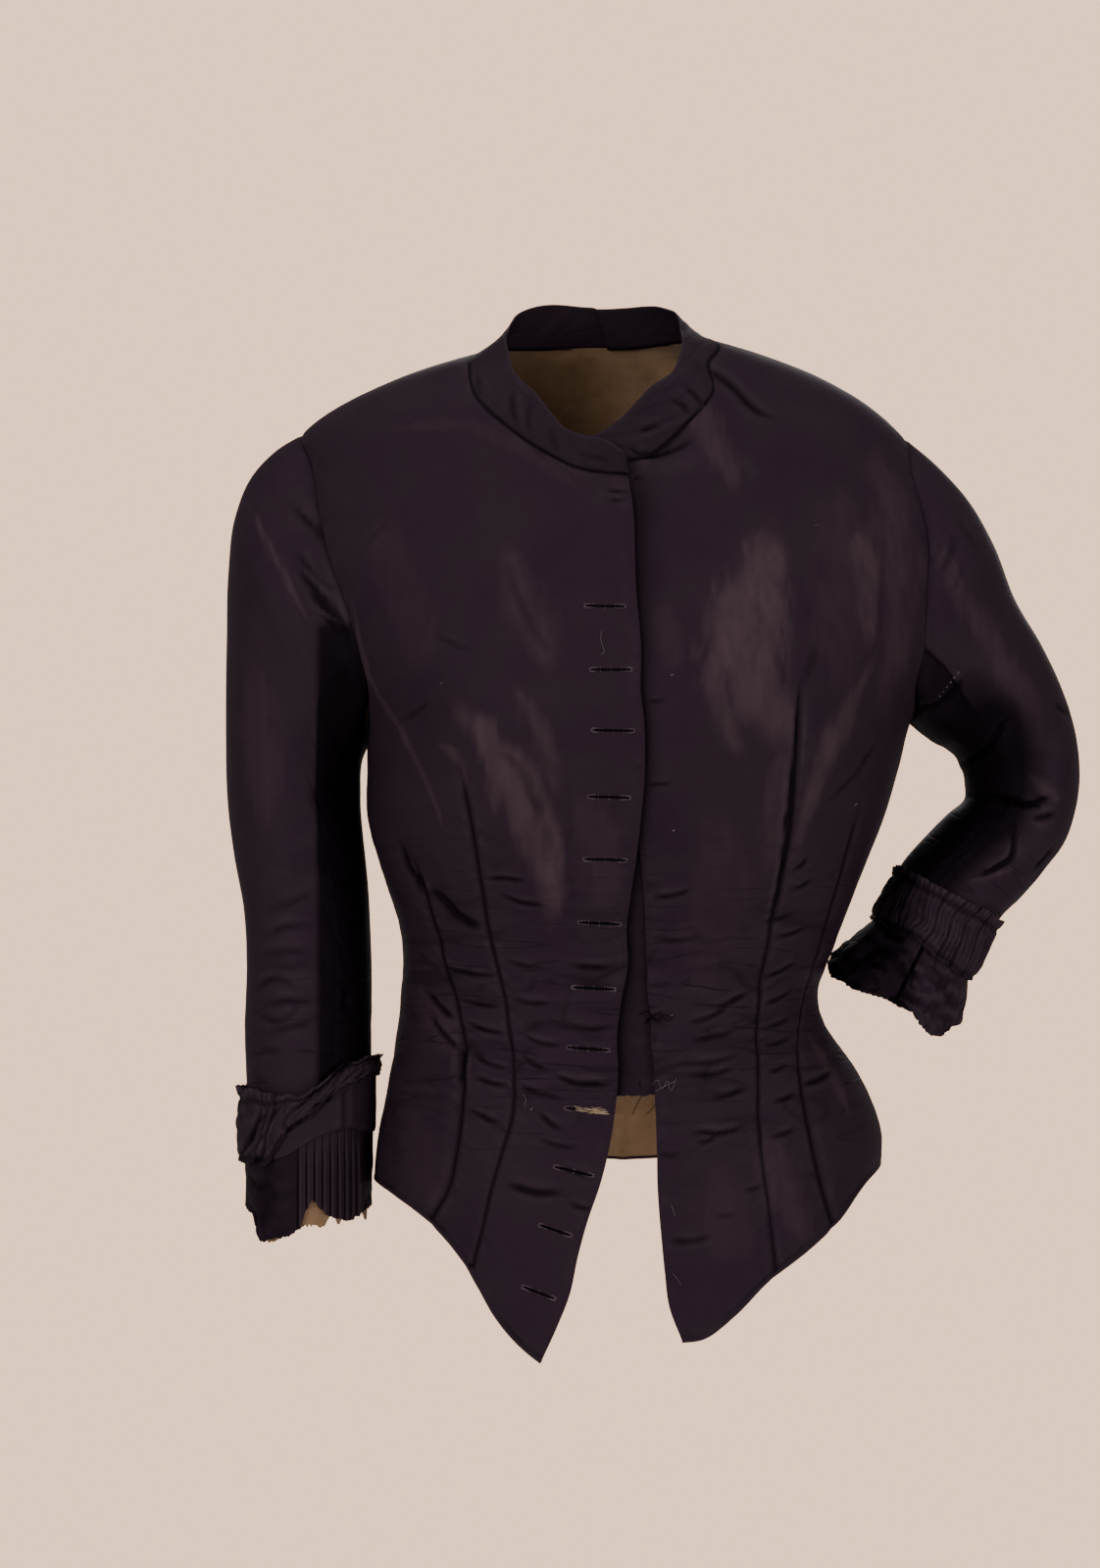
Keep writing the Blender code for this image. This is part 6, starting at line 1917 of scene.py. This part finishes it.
# %% Loops and slits
on_right = facing_cloth("silk_front_right")
loop_points, loop_ways, slit_lines = [], [], []
for x, z, half, slope in BUTTONHOLES:
    along = unit(np.array((1.0, slope)))
    across = np.array((-along[1], along[0]))
    for step in range(LOOPS_ROUND):
        angle = step * 2 * math.pi / LOOPS_ROUND
        a = math.copysign(abs(math.cos(angle)) ** 0.3, math.cos(angle))
        b = math.copysign(abs(math.sin(angle)) ** 0.5, math.sin(angle))
        px, pz = np.array((x, z)) + along * a * half + across * b * SLIT_HALF_WIDTH
        place, normal = on_right(px, pz)
        out = along * a**7 + across * b
        way = unit(np.array((out[0], 0, out[1])) - normal * (out[0] * normal[0] + out[1] * normal[2]))
        loop_points.append(place + normal * 0.12)
        loop_ways.append(way)
    # A near-black cord sunk into each slit is the painted shadow of the opening.
    slit = []
    for share in np.linspace(-0.93, 0.93, 16):
        place, normal = on_right(*(np.array((x, z)) + along * share * half))
        slit.append(place - normal * 0.5)
    slit_lines.append(slit)
stitches("buttonhole_loops", loop_points, loop_ways, buttonhole_twist, length=1.1, radius=0.3,
         unevenness=0.3, seed=7)
cords("buttonhole_slits", slit_lines, dark_slit, radius=0.95, spacing=1.2)

# %% [markdown]
# ## Loose threads
#
# Every button is gone, and what held them is still there: a few ends of thread on the left front,
# a frayed buttonhole, two threads that hang from the underlap and a row of mending stitches inside
# the left elbow. Old silk is never clean of such things, and they give the part its scale.
# %% Threads
# Lines of x, height and lift off the cloth, on the piece that the first word names.
PALE_ENDS = (
    ("left", (33, -416, 0.4), (36, -413, 1.1), (38, -418, 1.4), (41, -413.5, 1.2), (43, -419, 0.9),
     (46, -412, 0.6)),
    ("left", (35, -419, 0.4), (40, -416, 1.5), (45, -414, 0.6)),
    ("left", (43, -480, 0.4), (44, -483, 1.2), (45, -486, 0.4)),
    ("left", (44, -517, 0.4), (46, -520, 1.2), (48, -523, 0.4)),
    ("right", (5, -168, 0.3), (4.6, -172, 0.6), (5.4, -176, 0.6), (6.4, -179, 0.5), (5, -181, 0.3)),
    ("right", (-38, -421, 0.3), (-36, -424, 0.8), (-37, -428, 0.4)),
)
# Single short bits of thread: the side, x and height.
SPECKS = (("left", 146, -262), ("left", 44, -378), ("left", 43, -192), ("left", 44, -276),
          ("right", -33, -429), ("left", 124, -108), ("right", -82, -196))
DARK_ENDS = (
    ("left", (26, -378, 0.5), (30, -376, 2.2), (35, -380, 1.4), (40, -377.5, 2.4), (43, -379, 0.5)),
    ("left", (30, -381, 0.5), (33, -378.5, 1.8), (37, -376.5, 2.6), (41, -381, 1.6), (45, -378, 0.5)),
    ("left", (31, -375, 0.5), (36, -382, 2.0), (38, -376, 2.4), (33, -379, 2.0), (29, -383, 0.5)),
)
# Two threads that hang free below the underlap: x and height.
HANGING = (
    ((26, -414), (27, -421), (25.5, -425), (23.5, -429), (22.5, -432)),
    ((36, -414), (36.5, -421), (35, -426), (32, -430), (29.5, -432)),
)
# The row of mending stitches: x and height where it starts, how far it runs, how many there are.
MENDING_START, MENDING_RUN, MENDING_STITCHES = (205.5, -188.5), (-10, -13), 6
TUFT_FIBRES = 34
on_piece = {"right": facing_cloth("silk_front_right", "silk_underlap"),
            "left": facing_cloth("silk_front_left", "silk_underlap")}


# %% Lay the thread ends
def smooth_line(knots):
    """A smooth line through a few places."""
    return spline(np.arange(len(knots)), knots, np.linspace(0, len(knots) - 1, 6 * len(knots)))


def lie_on_cloth(table):
    """Lines that follow the cloth at a lift above it."""
    lines = []
    for side, *ends in table:
        on_side = [(*on_piece[side](x, z), lift) for x, z, lift in smooth_line(ends)]
        lines.append([place + normal * lift for place, normal, lift in on_side])
    return lines


cords("thread_ends", lie_on_cloth(PALE_ENDS), pale_thread, radius=0.15, spacing=0.7)
on_underlap = facing_cloth("silk_underlap")
hang_lines = [[(x, on_underlap(line[0][0], line[0][1])[0][1] - 0.5, z) for x, z in smooth_line(line)]
              for line in HANGING]
cords("dark_thread_ends", lie_on_cloth(DARK_ENDS) + hang_lines, dark_slit, radius=0.2, spacing=0.8)

# %% Specks and mending stitches
speck_points, speck_ways = [], []
for side, x, z in SPECKS:
    place, normal = on_piece[side](x, z)
    speck_points.append(place + normal * 0.2)
    speck_ways.append((0.8, 0, 0.6))
on_left_arm = facing_cloth("silk_upper_sleeve_left", "silk_under_sleeve_left")
for share in np.linspace(0, 1, MENDING_STITCHES):
    place, normal = on_left_arm(*(start + run * share for start, run in zip(MENDING_START, MENDING_RUN)))
    speck_points.append(place + normal * 0.25)
    speck_ways.append(unit(np.array((MENDING_RUN[0], 0.0, MENDING_RUN[1]))))
stitches("mending_stitches", speck_points, speck_ways, pale_thread, length=1.5, radius=0.32,
         unevenness=0.4, seed=3)

# %% Fibres in the worn buttonhole
x, z, half, slope = BUTTONHOLES[WORN_BUTTONHOLE]
generator = np.random.default_rng(5)
tuft_points, tuft_ways = [], []
for _ in range(TUFT_FIBRES):
    px, pz = x + generator.uniform(-3, half), z + generator.normal(0, 0.75)
    place, normal = on_right(px, pz + slope * (px - x))
    tuft_points.append(place + normal * generator.uniform(0.1, 0.6))
    tuft_ways.append(unit(np.array((1, generator.normal(0, 0.1), slope + generator.normal(0, 0.18)))))
stitches("worn_buttonhole_fibres", tuft_points, tuft_ways, tan_thread, length=6.0, radius=0.2,
         unevenness=0.4, seed=11)

# %% [markdown]
# ## Riding and cut sizes
#
# Every piece rides on the one body, and a piece of cloth takes the place of its CAD node. It also
# prints the flat size it was cut to.
# %% Ride, replace and print the cut sizes
NODE_OF = {"silk_strap_right": "cuff_strap_right", "tan_cuff_lining_right": "cuff_lining_right"}


def flat_cut(piece):
    """Width, length and area of a piece's outside, from its UV map and its faces."""
    mesh = piece.data
    area = sum(face.area for face in mesh.polygons if face.index < len(mesh.polygons) // 2)
    uv = np.empty(len(mesh.loops) * 2)
    mesh.uv_layers["cloth"].uv.foreach_get("vector", uv)
    wide, long = np.ptp(uv.reshape(-1, 2), axis=0)
    return wide, long, area


for name, piece in list(made.items()):
    node = NODE_OF.get(name, name.replace("silk_", ""))
    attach(piece, "root")
    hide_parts(node)
    wide, long, area = flat_cut(piece)
    print(name, "flat", round(wide, 3), round(long, 3), "area", round(area, 4))
for piece in sewn:
    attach(piece, "root")
